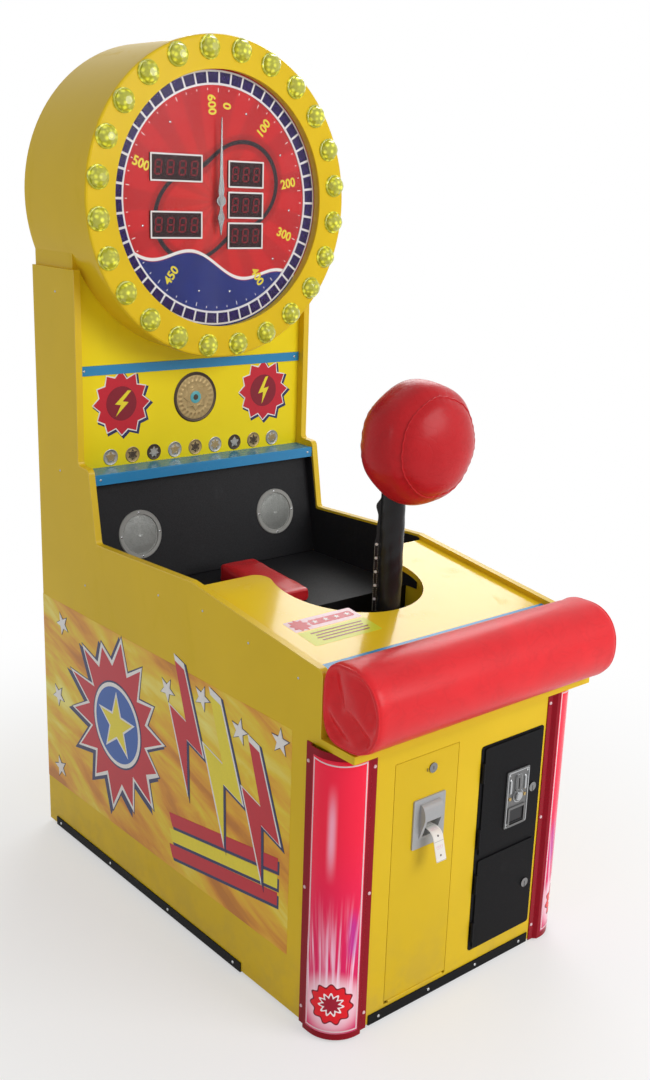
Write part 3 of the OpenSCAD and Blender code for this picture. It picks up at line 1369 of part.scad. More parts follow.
// A solenoid in its open frame behind the hub, with its plunger drawn back
module latch_solenoid() placed() color(STEEL) at_pivot() {
    foot = foot_z + plate_t;
    back = latch_r - 2;
    top = plunger_z + 12;
    difference() {
        box([-22, back, foot], [22, back + 40, top]);
        box([-16, back + 3, foot + 3], [16, back + 35, top + 1]);
    }
    box([-16, back + 3, foot + 3 - eps], [16, back + 35, top - 2]);
    rod_y(0, back - 16, plunger_z, 9, 17);
}

// Power supply on the base board, and beside it the control board on its plate
module electronics() placed() color(STEEL) translate([0, cab_d - supply_back, base_z + panel_t]) {
    slot = supply_w / 8.6;
    translate([-supply_w - 60, 0, 0]) difference() {
        cube([supply_w, supply_d, supply_h]);
        for (i = [0:7]) translate([slot / 2 + i * slot, -1, supply_h / 4])
            cube([slot / 2, supply_d + 2, supply_h / 2]);
    }
    translate([-40, 0, 0]) {
        cube([supply_w, supply_d, 2]);
        for (x = [10, supply_w - 10], y = [10, supply_d - 10]) translate([x, y, 2 - eps])
            cylinder(d = 8, h = board_rise);
        translate([2, 2, board_rise + 2 - 2 * eps]) {
            cube([supply_w - 4, supply_d - 4, 2]);
            for (i = [0:3]) translate([(0.07 + 0.22 * i) * supply_w, supply_d / 5, 2 - eps])
                cube([0.13 * supply_w, supply_d / 5, 6]);
            for (i = [0:5]) translate([(0.04 + 0.147 * i) * supply_w, 0.77 * supply_d, 2 - eps])
                cube([supply_w / 10, supply_d / 10, 12]);
        }
    }
}

side_panel_left();
side_panel_right();
edge_mouldings();
base_board();
base_rails();
levelling_feet();
caster_brackets();
caster_wheel_left();
caster_wheel_right();
back_panel();
rear_door();
rear_lock();
power_inlet();
power_switch();
front_panel();
corner_lamps();
corner_cover_left();
corner_cover_right();
front_ledge();
front_cushion();
deck_plate();
blue_trims();
pit_liners();
pit_tub();
stop_pad();
speaker_board();
speakers();
upper_front_panel();
head_shell();
head_ring();
lamp_domes();
dial_plate();
score_ring();
score_lenses();
dial_glass();
needle();
needle_motor();
digit_displays();
coin_frame();
coin_door_upper();
coin_door_lower();
coin_mech();
coin_return_button();
coin_return_flap();
upper_lock();
lower_lock();
cash_box();
ticket_door();
ticket_mouth();
ticket_lock();
ticket_dispenser();
ticket_strip();
punch_arm();
arm_sleeve();
punch_bag();
pivot_shaft();
pivot_frame();
pillow_blocks();
latch_solenoid();
electronics();
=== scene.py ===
import math

import bmesh
import bpy
import numpy as np
from bpy.props import FloatProperty, FloatVectorProperty, IntProperty, PointerProperty
from bpy.types import Operator, Panel, PropertyGroup
from mathutils import Matrix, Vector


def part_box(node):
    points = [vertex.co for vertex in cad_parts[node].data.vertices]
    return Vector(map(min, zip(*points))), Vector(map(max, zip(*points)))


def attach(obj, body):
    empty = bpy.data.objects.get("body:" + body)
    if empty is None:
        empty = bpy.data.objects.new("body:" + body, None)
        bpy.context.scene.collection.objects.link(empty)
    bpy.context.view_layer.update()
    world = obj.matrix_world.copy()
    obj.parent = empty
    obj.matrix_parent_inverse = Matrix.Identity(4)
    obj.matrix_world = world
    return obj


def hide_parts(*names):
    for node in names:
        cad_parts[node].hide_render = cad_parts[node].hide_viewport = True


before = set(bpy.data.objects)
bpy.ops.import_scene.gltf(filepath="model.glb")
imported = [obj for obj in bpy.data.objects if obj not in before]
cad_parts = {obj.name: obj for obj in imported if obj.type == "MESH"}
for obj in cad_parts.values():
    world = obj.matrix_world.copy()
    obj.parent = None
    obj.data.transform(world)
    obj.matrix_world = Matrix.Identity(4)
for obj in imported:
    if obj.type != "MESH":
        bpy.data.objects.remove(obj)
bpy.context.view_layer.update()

bl_info = {
    "name": "Boxing machine dressing",
    "version": (1, 0, 0),
    "blender": (4, 5, 0),
    "location": "View3D > Sidebar > Boxing machine",
    "description": "Puts lacquer, vinyl, lamps, dial marks and prints on the boxing machine's frame",
    "category": "Object",
}

# Places below are millimetres, with y from the front panel's face, as in the part's source
MM = 1000.0
RING_Y = 975.0
FRONT_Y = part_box("head_ring")[0].y * MM - RING_Y
SIDES = ((-1, "left"), (1, "right"))


def to_scene(points):
    """Places in the machine's millimetres, given as the scene's metres."""
    return (points + (0, FRONT_Y, 0)) / MM


def from_scene(points):
    """Places in the scene's metres, given as the machine's millimetres."""
    return points * MM - (0, FRONT_Y, 0)


def corners(node):
    """A node's lowest and highest corner at rest."""
    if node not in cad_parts:
        raise RuntimeError("the frame has no node " + node)
    return [from_scene(np.array(corner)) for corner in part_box(node)]


SIDE_X = corners("side_panel_right")[1][0]
BACK_Y = corners("back_panel")[1][1]
UPPER_Y = corners("upper_front_panel")[0][1]
DIAL_LOW, DIAL_HIGH = corners("dial_plate")
DIAL_Y = DIAL_LOW[1]
DIAL_Z = (DIAL_LOW[2] + DIAL_HIGH[2]) / 2
RING_R = corners("head_ring")[1][0]
PIVOT_Y = 284.0
PIT_Z = 790.0
DECK_Y, DECK_Z = 72.0, 867.0
DECK_RUN, DECK_RISE = 488.0, 65.0
DECK_SLOPE = math.atan(DECK_RISE / DECK_RUN)
BOARD_Y = 1003.0
BOARD_LEAN = math.radians(10.8)
SPEAKER_X, SPEAKER_UP = 228.0, 138.0


# Shader sums

class Value:
    """A shader socket that takes part in sums: each operator adds one Math node to the tree."""

    def __init__(self, tree, socket):
        self.tree = tree
        self.socket = socket

    def math(self, operation, *terms):
        node = self.tree.nodes.new("ShaderNodeMath")
        node.operation = operation
        for port, term in zip(node.inputs, terms):
            if isinstance(term, Value):
                self.tree.links.new(term.socket, port)
            else:
                port.default_value = term
        return Value(self.tree, node.outputs[0])

    def __add__(self, other):
        return self.math("ADD", self, other)

    def __sub__(self, other):
        return self.math("SUBTRACT", self, other)

    def __rsub__(self, other):
        return self.math("SUBTRACT", other, self)

    def __mul__(self, other):
        return self.math("MULTIPLY", self, other)

    def __truediv__(self, other):
        return self.math("DIVIDE", self, other)

    def __gt__(self, other):
        return self.math("GREATER_THAN", self, other)

    def __lt__(self, other):
        return self.math("LESS_THAN", self, other)

    def __abs__(self):
        return self.math("ABSOLUTE", self)

    __radd__ = __add__
    __rmul__ = __mul__

    def least(self, other):
        return self.math("MINIMUM", self, other)

    def most(self, other):
        return self.math("MAXIMUM", self, other)

    def sine(self):
        return self.math("SINE", self)

    def fraction(self):
        return self.math("FRACT", self)

    def root(self):
        return self.math("SQRT", self)

    def angle(self, across):
        return self.math("ARCTAN2", self, across)

    def step(self, start, end):
        """0 at start, 1 at end and smooth between: 3t^2 - 2t^3; start may be the greater one."""
        t = ((self - start) / (end - start)).most(0.0).least(1.0)
        return t * t * (3.0 - 2.0 * t)


class Finish:
    """One material in the making: its tree, its Principled shader and the object's coordinates."""

    def __init__(self, name, **constants):
        self.material = bpy.data.materials.new(name)
        self.material.use_nodes = True
        self.tree = self.material.node_tree
        self.shader = next(node for node in self.tree.nodes if node.type == "BSDF_PRINCIPLED")
        self.output = next(node for node in self.tree.nodes if node.type == "OUTPUT_MATERIAL")
        self.plain = Value(self.tree, self.shader.outputs[0])
        self.place = self.node("ShaderNodeTexCoord", {}, {}, "Object")
        self.x, self.y, self.z = [axis * MM for axis in self.axes(self.place)]
        self.set(**constants)

    def node(self, kind, settings, sockets, out=0):
        """Adds a node of a kind: first its settings, then its sockets' values or links; gives one output."""
        node = self.tree.nodes.new(kind)
        for key, setting in settings.items():
            if key == "stops":
                self.stops(node.color_ramp.elements, setting)
            else:
                setattr(node, key, setting)
        for key, term in sockets.items():
            if isinstance(term, Value):
                self.tree.links.new(term.socket, node.inputs[key])
            else:
                node.inputs[key].default_value = term
        return Value(self.tree, node.outputs[out])

    def axes(self, vector):
        """The three axes of a vector, from one Separate node."""
        node = self.tree.nodes.new("ShaderNodeSeparateXYZ")
        self.tree.links.new(vector.socket, node.inputs[0])
        return [Value(self.tree, output) for output in node.outputs]

    def stops(self, ramp, stops):
        while len(ramp) < len(stops):
            ramp.new(0.5)
        for stop, (place, colour) in zip(ramp, stops):
            stop.position = place
            stop.color = (*colour, 1.0)

    def set(self, **terms):
        """Sets the shader's sockets, each by its name in small letters, to a value or a link."""
        for key, term in terms.items():
            port = self.shader.inputs[key.replace("_", " ").title().replace("Ior", "IOR")]
            if isinstance(term, Value):
                self.tree.links.new(term.socket, port)
            else:
                port.default_value = term
        return self

    def surface(self):
        """The piece's own map: two values in millimetres along its surface."""
        return self.axes(self.node("ShaderNodeUVMap", {"uv_map": "surface"}, {}))[:2]

    def point(self, x, y, z):
        return self.node("ShaderNodeCombineXYZ", {}, {0: x, 1: y, 2: z})

    def squeezed(self, x, y, z):
        """The object's coordinates with each axis scaled; a small scale draws a pattern out."""
        return self.node("ShaderNodeMapping", {}, {0: self.place, 3: (x, y, z)})

    def noise(self, scale, detail=3.0, rough=0.55, place=None, warp=0.0):
        return self.node("ShaderNodeTexNoise", {}, {
            "Vector": place or self.place, "Scale": scale, "Detail": detail, "Roughness": rough,
            "Distortion": warp})

    def cells(self, scale, feature="F1", place=None, random=1.0):
        return self.node("ShaderNodeTexVoronoi", {"feature": feature}, {
            "Vector": place or self.place, "Scale": scale, "Randomness": random})

    def mix(self, share, first, second):
        """Two colours or links mixed: the first at share 0, the second at share 1."""
        first, second = [c if isinstance(c, Value) else (*c[:3], 1.0) for c in (first, second)]
        return self.node("ShaderNodeMix", {"data_type": "RGBA"}, {0: share, 6: first, 7: second}, 2)

    def show_mixed(self, share, first, second):
        """Shows two shaders mixed: the first at share 0, the second at share 1."""
        shown = self.node("ShaderNodeMixShader", {}, {0: share, 1: first, 2: second})
        self.tree.links.new(shown.socket, self.output.inputs[0])

    def relief(self, height, depth, strength=0.5):
        """A Bump of the given depth in millimetres; gives the finished material."""
        self.set(normal=self.node("ShaderNodeBump", {}, {
            "Strength": strength, "Distance": depth / MM, "Height": height}))
        return self.material


def toned(colour, factor):
    """A colour times a factor, kept from 0 to 1."""
    return tuple(min(1.0, part * factor) for part in colour[:3])


# Finishes

def lacquer(name, colour, gloss=0.28, coat=0.04):
    """Sprayed board: a cloudy tone, orange peel, rubbed places and dust towards the floor."""
    f = Finish(name, coat_roughness=0.1, specular_ior_level=0.1)
    rubs = f.noise(9.0, 6.0, 0.7, f.squeezed(1, 1, 0.35), 0.6).step(0.56, 0.74)
    dust = f.z.step(280.0, 20.0) * f.noise(14.0, 5.0).step(0.35, 0.7) * 0.2
    base = f.mix(f.noise(1.7, 4.0).step(0.3, 0.75), toned(colour, 0.94), toned(colour, 1.04))
    base = f.mix(rubs * 0.14, base, toned(colour, 0.74))
    base = f.mix(dust, base, (0.30, 0.22, 0.12))
    f.set(base_color=base, roughness=gloss + rubs * 0.16 + dust * 0.5, coat_weight=coat - rubs * coat * 0.6)
    return f.relief(f.noise(420.0, 2.0) + f.noise(46.0, 2.0), 0.1, 0.3)


def fibre_board(name, colour):
    """Plain board: fine fibres and a few darker specks."""
    f = Finish(name)
    fibre = f.noise(260.0, 5.0, 0.6, f.squeezed(1, 0.25, 1))
    base = f.mix(fibre, toned(colour, 0.78), toned(colour, 1.12))
    base = f.mix(f.cells(180.0).step(0.16, 0.06) * 0.5, base, toned(colour, 0.45))
    f.set(base_color=base, roughness=0.72 + fibre * 0.2)
    return f.relief(fibre, 0.3)


def crackle(name, colour, grain=620.0, gloss=0.45, shine=0.2):
    """Crackle coat on steel or board: round grains, polished a little where hands rub it."""
    f = Finish(name, specular_ior_level=shine)
    grains = f.cells(grain)
    rubbed = f.noise(7.0, 5.0, 0.65).step(0.56, 0.78)
    base = f.mix(grains.step(0.1, 0.6), toned(colour, 1.3), toned(colour, 0.7))
    base = f.mix(rubbed * 0.1, base, (0.10, 0.10, 0.11))
    f.set(base_color=base, roughness=gloss + grains * 0.14 - rubbed * 0.12)
    return f.relief(1.0 - grains, 0.25, 0.6)


def moulded(name, colour, gloss=0.35, peel=0.06, shine=0.35):
    """Moulded plastic: a fine peel, a soft sheen and small handling marks."""
    f = Finish(name, specular_ior_level=shine)
    marks = f.noise(55.0, 6.0, 0.75).step(0.6, 0.78)
    base = f.mix(f.noise(4.0, 3.0), toned(colour, 0.9), toned(colour, 1.08))
    f.set(base_color=f.mix(marks * 0.18, base, toned(colour, 0.6)), roughness=gloss + marks * 0.15)
    return f.relief(f.noise(700.0, 2.0), peel)


def vinyl(name, colour, gloss=0.34, crease_strength_and_shade=1.0, coat=0.25):
    """Upholstery vinyl: pebbled grain, soft crease lines with painted shade along them, and a bloom where it
    is handled.
    """
    f = Finish(name, specular_ior_level=0.12, coat_weight=coat, coat_roughness=0.22)
    pebbles = f.cells(540.0, "DISTANCE_TO_EDGE").step(0.0, 0.2)
    cloud = f.noise(7.0, 5.0, 0.6, None, 0.8)
    crease = abs(f.noise(11.0, 3.0, 0.5, f.squeezed(1, 1, 1.6), 1.4) - 0.5).step(0.045, 0.0) * crease_strength_and_shade
    base = f.mix(cloud.step(0.25, 0.8), toned(colour, 0.92), toned(colour, 1.05))
    # Painted shade: the colour is darkened a little along the crease lines, which the bump also sinks.
    base = f.mix(crease * 0.12, base, toned(colour, 0.6))
    f.set(base_color=base, roughness=gloss + cloud * 0.08 - pebbles * 0.05)
    return f.relief(pebbles * 0.12 + f.noise(26.0, 4.0) * crease_strength_and_shade * 0.3 - crease * 0.25, 1.1)


def brushed(name, colour, gloss=0.26, along=(1.0, 0.02, 1.0)):
    """Brushed sheet: scratches one way and faint fingerprints."""
    f = Finish(name, metallic=1.0)
    scratch = f.noise(900.0, 3.0, 0.6, f.squeezed(*along))
    touched = f.noise(16.0, 5.0).step(0.5, 0.75)
    f.set(base_color=f.mix(scratch, toned(colour, 0.8), toned(colour, 1.12)),
          roughness=gloss + scratch * 0.16 + touched * 0.1)
    return f.relief(scratch, 0.05)


def plated(name, colour, gloss=0.09):
    """Bright plating under a haze of fine wipes."""
    f = Finish(name, metallic=1.0)
    haze = f.noise(60.0, 6.0, 0.7).step(0.4, 0.8)
    f.set(base_color=f.mix(haze, colour, toned(colour, 0.84)), roughness=gloss + haze * 0.14)
    return f.relief(f.noise(300.0, 2.0), 0.02)


def rubbery(name, colour):
    """Matt rubber with dust in its pores."""
    f = Finish(name, specular_ior_level=0.3)
    pores = f.noise(420.0, 4.0)
    base = f.mix(pores, toned(colour, 0.7), toned(colour, 1.5))
    base = f.mix(f.noise(24.0, 4.0).step(0.5, 0.8) * 0.35, base, (0.16, 0.15, 0.13))
    f.set(base_color=base, roughness=0.7 + pores * 0.2)
    return f.relief(pores, 0.2)


def ink(name, colour):
    """One ink of a printed film: a faint mottle and worn patches."""
    f = Finish(name, specular_ior_level=0.3, coat_roughness=0.1, coat_weight=0.08)
    mottle = f.noise(180.0, 4.0)
    base = f.mix(mottle, toned(colour, 0.92), toned(colour, 1.08))
    base = f.mix(f.noise(11.0, 3.0).step(0.4, 0.8) * 0.25, base, toned(colour, 0.8))
    f.set(base_color=base, roughness=0.26 + mottle * 0.08)
    return f.relief(mottle, 0.03)


def flame_film(name):
    """The sides' printed field: yellow and orange clouds swept along it, with pale sparks."""
    f = Finish(name, specular_ior_level=0.3, coat_roughness=0.1, coat_weight=0.08)
    along, up = f.y / MM, f.z / MM
    swept = f.point(0.0, (along + up * 0.3) * 0.9, (up - along * 0.3) * 3.6)
    thin = f.noise(5.0, 5.0, 0.6, swept, 1.4)
    tone = f.noise(1.5, 4.0, 0.5, swept, 1.3) * 0.8 + thin * 0.2
    base = f.node("ShaderNodeValToRGB", {"stops": [
        (0.38, (0.56, 0.19, 0.008)), (0.45, (0.74, 0.30, 0.01)), (0.50, (0.82, 0.44, 0.012)),
        (0.56, (0.84, 0.60, 0.015)), (0.66, (0.92, 0.82, 0.20))]}, {0: tone})
    sparks = f.cells(34.0, place=swept).step(0.10, 0.02) * thin.step(0.5, 0.6)
    f.set(base_color=f.mix(sparks * 0.5, base, (0.92, 0.50, 0.25)), roughness=0.26 + thin * 0.1)
    return f.relief(f.noise(420.0, 2.0), 0.05)


def glow_film(name):
    """The corner covers' film: crimson, with pale streaks rising from a burst that glows near the floor, and
    a painted highlight in a pale vertical shaft.
    """
    f = Finish(name, specular_ior_level=0.15, coat_weight=0.06, coat_roughness=0.06, emission_strength=0.12)
    u, v = f.surface()
    burst_u, burst_v = 74.0, 98.0
    fanned = u + (u - burst_u) * v.step(420.0, 140.0) * 0.35
    streaks = f.noise(1.0, 3.0, 0.5, f.point(fanned * 0.09, v * 0.003, 0.0), 0.3).step(0.44, 0.66)
    # Painted highlight: a pale vertical shaft round u = 62 mm, from about v = 390 to 650 mm.
    shaft = abs(u - 62.0).step(15.0, 0.0) * abs(v - 520.0).step(130.0, 20.0)
    across, up = u - burst_u, v - burst_v
    radius = (across * across + up * up).root()
    burst = radius + (up.angle(across) * 11.0).sine() * 4.5
    base = f.mix(v.step(60.0, 560.0), (0.70, 0.012, 0.13), (0.90, 0.016, 0.055))
    low_glow = v.step(390.0, 190.0) * v.step(95.0, 150.0)
    base = f.mix((streaks * low_glow + shaft * 0.6).least(1.0), base, (0.97, 0.62, 0.80))
    base = f.mix(radius.step(92.0, 46.0) * 0.7, base, (0.98, 0.80, 0.88))
    purple = abs(u - 118.0).step(20.0, 0.0) * abs(v - 270.0).step(80.0, 20.0)
    base = f.mix(purple * 0.45, base, (0.3, 0.05, 0.5))
    rings = ((50.0, (0.20, 0.006, 0.02)), (46.0, (0.76, 0.010, 0.02)), (27.0, (0.90, 0.80, 0.82)),
             (21.0, (0.36, 0.008, 0.03)))
    for edge, colour in rings:
        base = f.mix(burst.step(edge, edge - 1.0), base, colour)
    f.set(base_color=base, emission_color=base, roughness=0.14 + f.noise(60.0, 5.0).step(0.6, 0.8) * 0.1)
    return f.relief(f.noise(30.0, 2.0), 0.08, 0.25)


def dial_film(name, colour):
    """The dial's print: rays in two reds, a dark curl and a blue wave low down."""
    f = Finish(name, specular_ior_level=0.15)
    dx, dz = f.x, f.z - DIAL_Z
    radius = (dx * dx + dz * dz).root()
    turn = dz.angle(dx)
    rays = (turn * 15.0 + radius * 0.006).sine().step(-0.15, 0.15)
    curl = abs(radius - 150.0 - (turn * 2.0 + 0.6).sine() * 52.0)
    wave = dz + 168.0 + (dx * 0.022).sine() * 22.0 + dx * 0.18
    base = f.mix(rays, toned(colour, 0.88), toned(colour, 1.05))
    base = f.mix(radius.step(260.0, 60.0) * 0.12, base, (0.95, 0.12, 0.05))
    base = f.mix(curl.step(26.0, 16.0) * 0.5, base, toned(colour, 0.4))
    base = f.mix(curl.step(8.0, 5.0), base, (0.02, 0.008, 0.014))
    sea = f.mix(f.noise(16.0, 4.0), (0.006, 0.010, 0.11), (0.012, 0.03, 0.26))
    base = f.mix(wave.step(2.0, -2.0), base, sea)
    base = f.mix(abs(wave - 5.0).step(5.0, 3.0), base, (0.9, 0.88, 0.85))
    mottle = f.noise(240.0, 3.0)
    f.set(base_color=f.mix(mottle * 0.015, base, (1, 1, 1)), roughness=0.24 + mottle * 0.06)
    return f.relief(f.noise(300.0, 2.0), 0.02)


def display_case(name):
    """The displays' cases: a pale rim in front and a smoked window in the recess behind it."""
    f = Finish(name, specular_ior_level=0.12)
    proud = 5
    inside = (f.y - FRONT_Y - (DIAL_Y - proud)).step(0.8, 1.3)
    smoke = f.mix(f.noise(90.0, 3.0), (0.020, 0.006, 0.008), (0.035, 0.010, 0.012))
    f.set(base_color=f.mix(inside, (0.86, 0.84, 0.82), smoke),
          roughness=0.42 - inside * 0.18 + f.noise(200.0, 3.0) * 0.1)
    return f.relief(f.noise(500.0, 2.0), 0.03)


def coloured_lens(name, colour, strength, prisms=190.0, shine=0.5, edge=0.38):
    """A coloured lens over a lamp: prisms inside, each with a painted highlight in its middle and painted
    shade at its edge.
    """
    f = Finish(name, specular_ior_level=shine, coat_weight=shine * 0.5, coat_roughness=0.05,
               emission_strength=strength)
    prism = f.cells(prisms, random=0.6)
    # Painted highlight and shade: each prism's middle is 1.5 times the colour, and its edge is the colour
    # times edge.
    base = f.mix(prism.step(0.05, 0.6), toned(colour, 1.5), toned(colour, edge))
    f.set(base_color=base, roughness=0.1 + prism * 0.12, emission_color=base)
    return f.relief(1.0 - prism, 0.4, 0.3)


def clear_sheet(name):
    """Clear acrylic: see-through, glossy by the angle, with a few wiping marks."""
    f = Finish(name, roughness=0.05, specular_ior_level=0.6)
    wipes = f.noise(3.0, 5.0, 0.6, f.squeezed(1, 1, 0.3), 1.0).step(0.5, 0.8)
    f.set(base_color=f.mix(wipes, (0.9, 0.93, 0.95), (1, 1, 1)))
    share = f.node("ShaderNodeFresnel", {}, {"IOR": 1.45}) * 0.2 + wipes * 0.008
    f.show_mixed(share, f.node("ShaderNodeBsdfTransparent", {}, {}), f.plain)
    return f.relief(f.noise(40.0, 2.0), 0.02, 0.2)


def speaker_face(name, colour, hole_pitch=3.4, sheet_r=53.0):
    """The speakers' rings and their pierced sheets: staggered rows of round holes inside the ring."""
    f = Finish(name, specular_ior_level=0.5)
    x = abs(f.x) - SPEAKER_X
    up = (f.z - PIT_Z) / math.cos(BOARD_LEAN) - SPEAKER_UP
    face = (x * x + up * up).root().step(sheet_r + 0.5, sheet_r - 0.5)
    row_pitch = hole_pitch * math.sqrt(3)
    gaps = []
    for shift in (0.0, 0.5):
        a = ((x / hole_pitch + shift).fraction() - 0.5) * hole_pitch
        b = ((up / row_pitch + shift).fraction() - 0.5) * row_pitch
        gaps.append((a * a + b * b).root())
    hole = gaps[0].least(gaps[1]).step(1.2, 0.9) * face
    base = f.mix(face, colour, (0.34, 0.35, 0.33))
    base = f.mix(f.noise(40.0, 4.0).step(0.45, 0.8) * 0.3, base, toned(colour, 0.6))
    f.set(base_color=f.mix(hole, base, (0.012, 0.012, 0.012)), metallic=face * 0.6,
          roughness=0.38 + hole * 0.4)
    return f.relief(1.0 - hole, 0.5)


def ticket_card(name, pitch=45.0):
    """Ticket card: off-white fibres, a pale tinted band, a punched hole and a perforation on each ticket."""
    f = Finish(name, specular_ior_level=0.3)
    u, v = f.surface()
    fibre = f.noise(320.0, 4.0)
    along = (v / pitch).fraction()
    tear = abs(along - 0.5).step(0.484, 0.494) * (abs((u / 2.2).fraction() - 0.5) < 0.3)
    tint = abs(along - 0.3).step(0.12, 0.08) * abs(u).step(11.0, 10.0)
    tint = tint * f.noise(500.0, 2.0).step(0.45, 0.55)
    gap = (along - 0.72) * pitch
    punched = (u * u + gap * gap).root().step(2.8, 2.3)
    base = f.mix(fibre, (0.80, 0.77, 0.70), (0.88, 0.86, 0.82))
    base = f.mix(tint * 0.6, base, (0.75, 0.45, 0.52))
    f.set(base_color=f.mix(tear.most(punched), base, (0.1, 0.08, 0.08)), roughness=0.6 + fibre * 0.15)
    return f.relief(fibre - tear, 0.08)


def circuit(name):
    """Power supply and control board: plated cases low down, a green board with dark parts above."""
    f = Finish(name, specular_ior_level=0.5)
    board = (f.x > -45.0) * f.z.step(90.0, 91.0)
    case = f.noise(500.0, 3.0, 0.5, f.squeezed(1, 0.03, 1))
    parts = f.mix(f.z.step(94.0, 94.6), (0.02, 0.20, 0.07), (0.03, 0.03, 0.035))
    f.set(base_color=f.mix(board, f.mix(case, (0.45, 0.46, 0.47), (0.62, 0.63, 0.64)), parts),
          metallic=0.9 - board * 0.9, roughness=0.4 + case * 0.15)
    return f.relief(f.noise(300.0, 3.0), 0.1)


# Each finish has its maker, then its colour where it has one, then the maker's further settings.
# A colour is a plain one, or one of the panel's by name, or such a one toned by a factor.
FINISHES = {
    "yellow lacquer": (lacquer, "yellow"),
    "door lacquer": (lacquer, ("yellow", 0.95), 0.34),
    # The deck's finish is the cabinet yellow made 8 per cent lighter: painted light for the strong light on
    # the deck. Its coat gives the real sheen.
    "deck lacquer": (lacquer, ("yellow", 1.08), 0.22, 0.6),
    "panel lacquer": (lacquer, "panel"),
    "edge strip": (moulded, ("yellow", 0.98), 0.3),
    "plain board": (fibre_board, (0.52, 0.38, 0.22)),
    "black board": (crackle, "black", 420.0, 0.48),
    "black crackle": (crackle, ("black", 0.6), 620.0, 0.4, 0.08),
    "black plastic": (moulded, "black", 0.3),
    "cover red": (moulded, "cover", 0.16, 0.03, 0.1),
    "lamp tube": (moulded, (0.85, 0.84, 0.8), 0.3),
    "red vinyl": (vinyl, ("vinyl", 0.95), 0.36, 1.0, 0.22),
    "bag vinyl": (vinyl, ("vinyl", 0.62), 0.26, 1.0, 0.1),
    "pad vinyl": (vinyl, ("vinyl", 0.72), 0.36, 1.0, 0.5),
    "black vinyl": (vinyl, ("black", 0.7), 0.26, 0.6),
    "thread": (moulded, (0.62, 0.60, 0.56), 0.6, 0.2),
    "blue trim": (moulded, "blue", 0.26, 0.03),
    "steel": (brushed, (0.42, 0.43, 0.44)),
    "steel across": (brushed, (0.20, 0.20, 0.20), 0.3, (0.02, 1, 1)),
    "chrome": (plated, (0.50, 0.51, 0.52), 0.14),
    "dull chrome": (plated, (0.26, 0.26, 0.26), 0.2),
    "brass": (plated, (0.52, 0.36, 0.14), 0.2),
    "bronze": (brushed, (0.34, 0.25, 0.12), 0.34, (1, 1, 1)),
    "dark bronze": (brushed, (0.08, 0.06, 0.045), 0.4, (1, 1, 1)),
    "silver": (brushed, (0.36, 0.35, 0.32), 0.3, (1, 1, 1)),
    "lamp lens": (coloured_lens, "lamp", 0.2, 75.0, 0.5, 0.6),
    "purple lens": (coloured_lens, "purple", 0.12, 190.0, 0.1),
    "dial film": (dial_film, "dial"),
    "white plastic": (moulded, (0.84, 0.82, 0.84), 0.34),
    "clear sheet": (clear_sheet,),
    "display case": (display_case,),
    "digit red": (moulded, (0.24, 0.018, 0.028), 0.25, 0.02, 0.1),
    "speaker face": (speaker_face, (0.30, 0.30, 0.28)),
    "grey plastic": (moulded, (0.40, 0.41, 0.42), 0.32),
    "red plastic": (moulded, (0.55, 0.02, 0.02), 0.22),
    "rubber": (rubbery, (0.035, 0.035, 0.037)),
    "ticket card": (ticket_card,),
    "circuit": (circuit,),
    "flame film": (flame_film,),
    "glow film": (glow_film,),
    "red ink": (ink, (0.58, 0.012, 0.03)),
    "dark red ink": (ink, (0.24, 0.006, 0.02)),
    "navy ink": (ink, (0.02, 0.025, 0.11)),
    "blue ink": (ink, (0.03, 0.12, 0.45)),
    "white ink": (ink, (0.86, 0.84, 0.82)),
    "pink ink": (ink, (0.86, 0.62, 0.66)),
    "yellow ink": (ink, (0.86, 0.72, 0.03)),
    "lime ink": (ink, (0.66, 0.68, 0.03)),
    "cyan ink": (ink, (0.10, 0.42, 0.48)),
}
made_finishes = {}


def picked(colour):
    """A plain colour as it is, or else the panel's colour of that name, toned by its factor."""
    if isinstance(colour, str):
        colour = (colour, 1.0)
    if not isinstance(colour[0], str):
        return colour
    name, factor = colour
    return toned(getattr(bpy.context.scene.machine_colours, name), factor)


def finish(name):
    """The named finish, made the first time it is asked for."""
    if name not in made_finishes:
        maker, *settings = FINISHES[name]
        settings[:1] = [picked(colour) for colour in settings[:1]]
        made_finishes[name] = maker(name.capitalize(), *settings)
    return made_finishes[name]


# Surfaces

def grid(rows, columns, wrap_rows=False, wrap_columns=False):
    """The quads of a grid of points stored row by row; a wrapped direction joins its two ends."""
    i = np.arange(rows if wrap_rows else rows - 1)[:, None]
    j = np.arange(columns if wrap_columns else columns - 1)[None, :]
    i1, j1 = (i + 1) % rows, (j + 1) % columns
    corner = [i * columns + j, i1 * columns + j, i1 * columns + j1, i * columns + j1]
    return np.stack(corner, -1).reshape(-1, 4)


def end_faces(rings, n):
    """The two faces that close a pile of rings of n points."""
    return [list(range(n)), [(rings - 1) * n + i for i in range(n)]]


class Shape:
    """Points and faces of one piece, gathered from its parts; a mark picks the material."""

    def __init__(self):
        self.points = []
        self.faces = []
        self.marks = []
        self.count = 0

    def add(self, points, faces, mark=0):
        points = np.asarray(points, float).reshape(-1, 3)
        self.points.append(points)
        if isinstance(faces, np.ndarray):
            faces = faces.tolist()
        self.faces += [[i + self.count for i in face] for face in faces]
        self.marks += [mark] * len(faces)
        self.count += len(points)


def plane(origin, right, up):
    """A flat place: a function of (u, v, w) that goes u along right, v along up and w out of the surface."""
    origin, right, up = [np.array(part, float) for part in (origin, right, up)]
    out = np.cross(right, up)

    def place(u, v, w):
        u, v, w = np.broadcast_arrays(u, v, w)
        return origin + u[..., None] * right + v[..., None] * up + w[..., None] * out

    return place


def on_front(x, z, y=0.0):
    """A place that faces the player: u to the right and v up from a point."""
    return plane((x, y, z), (1, 0, 0), (0, 0, 1))


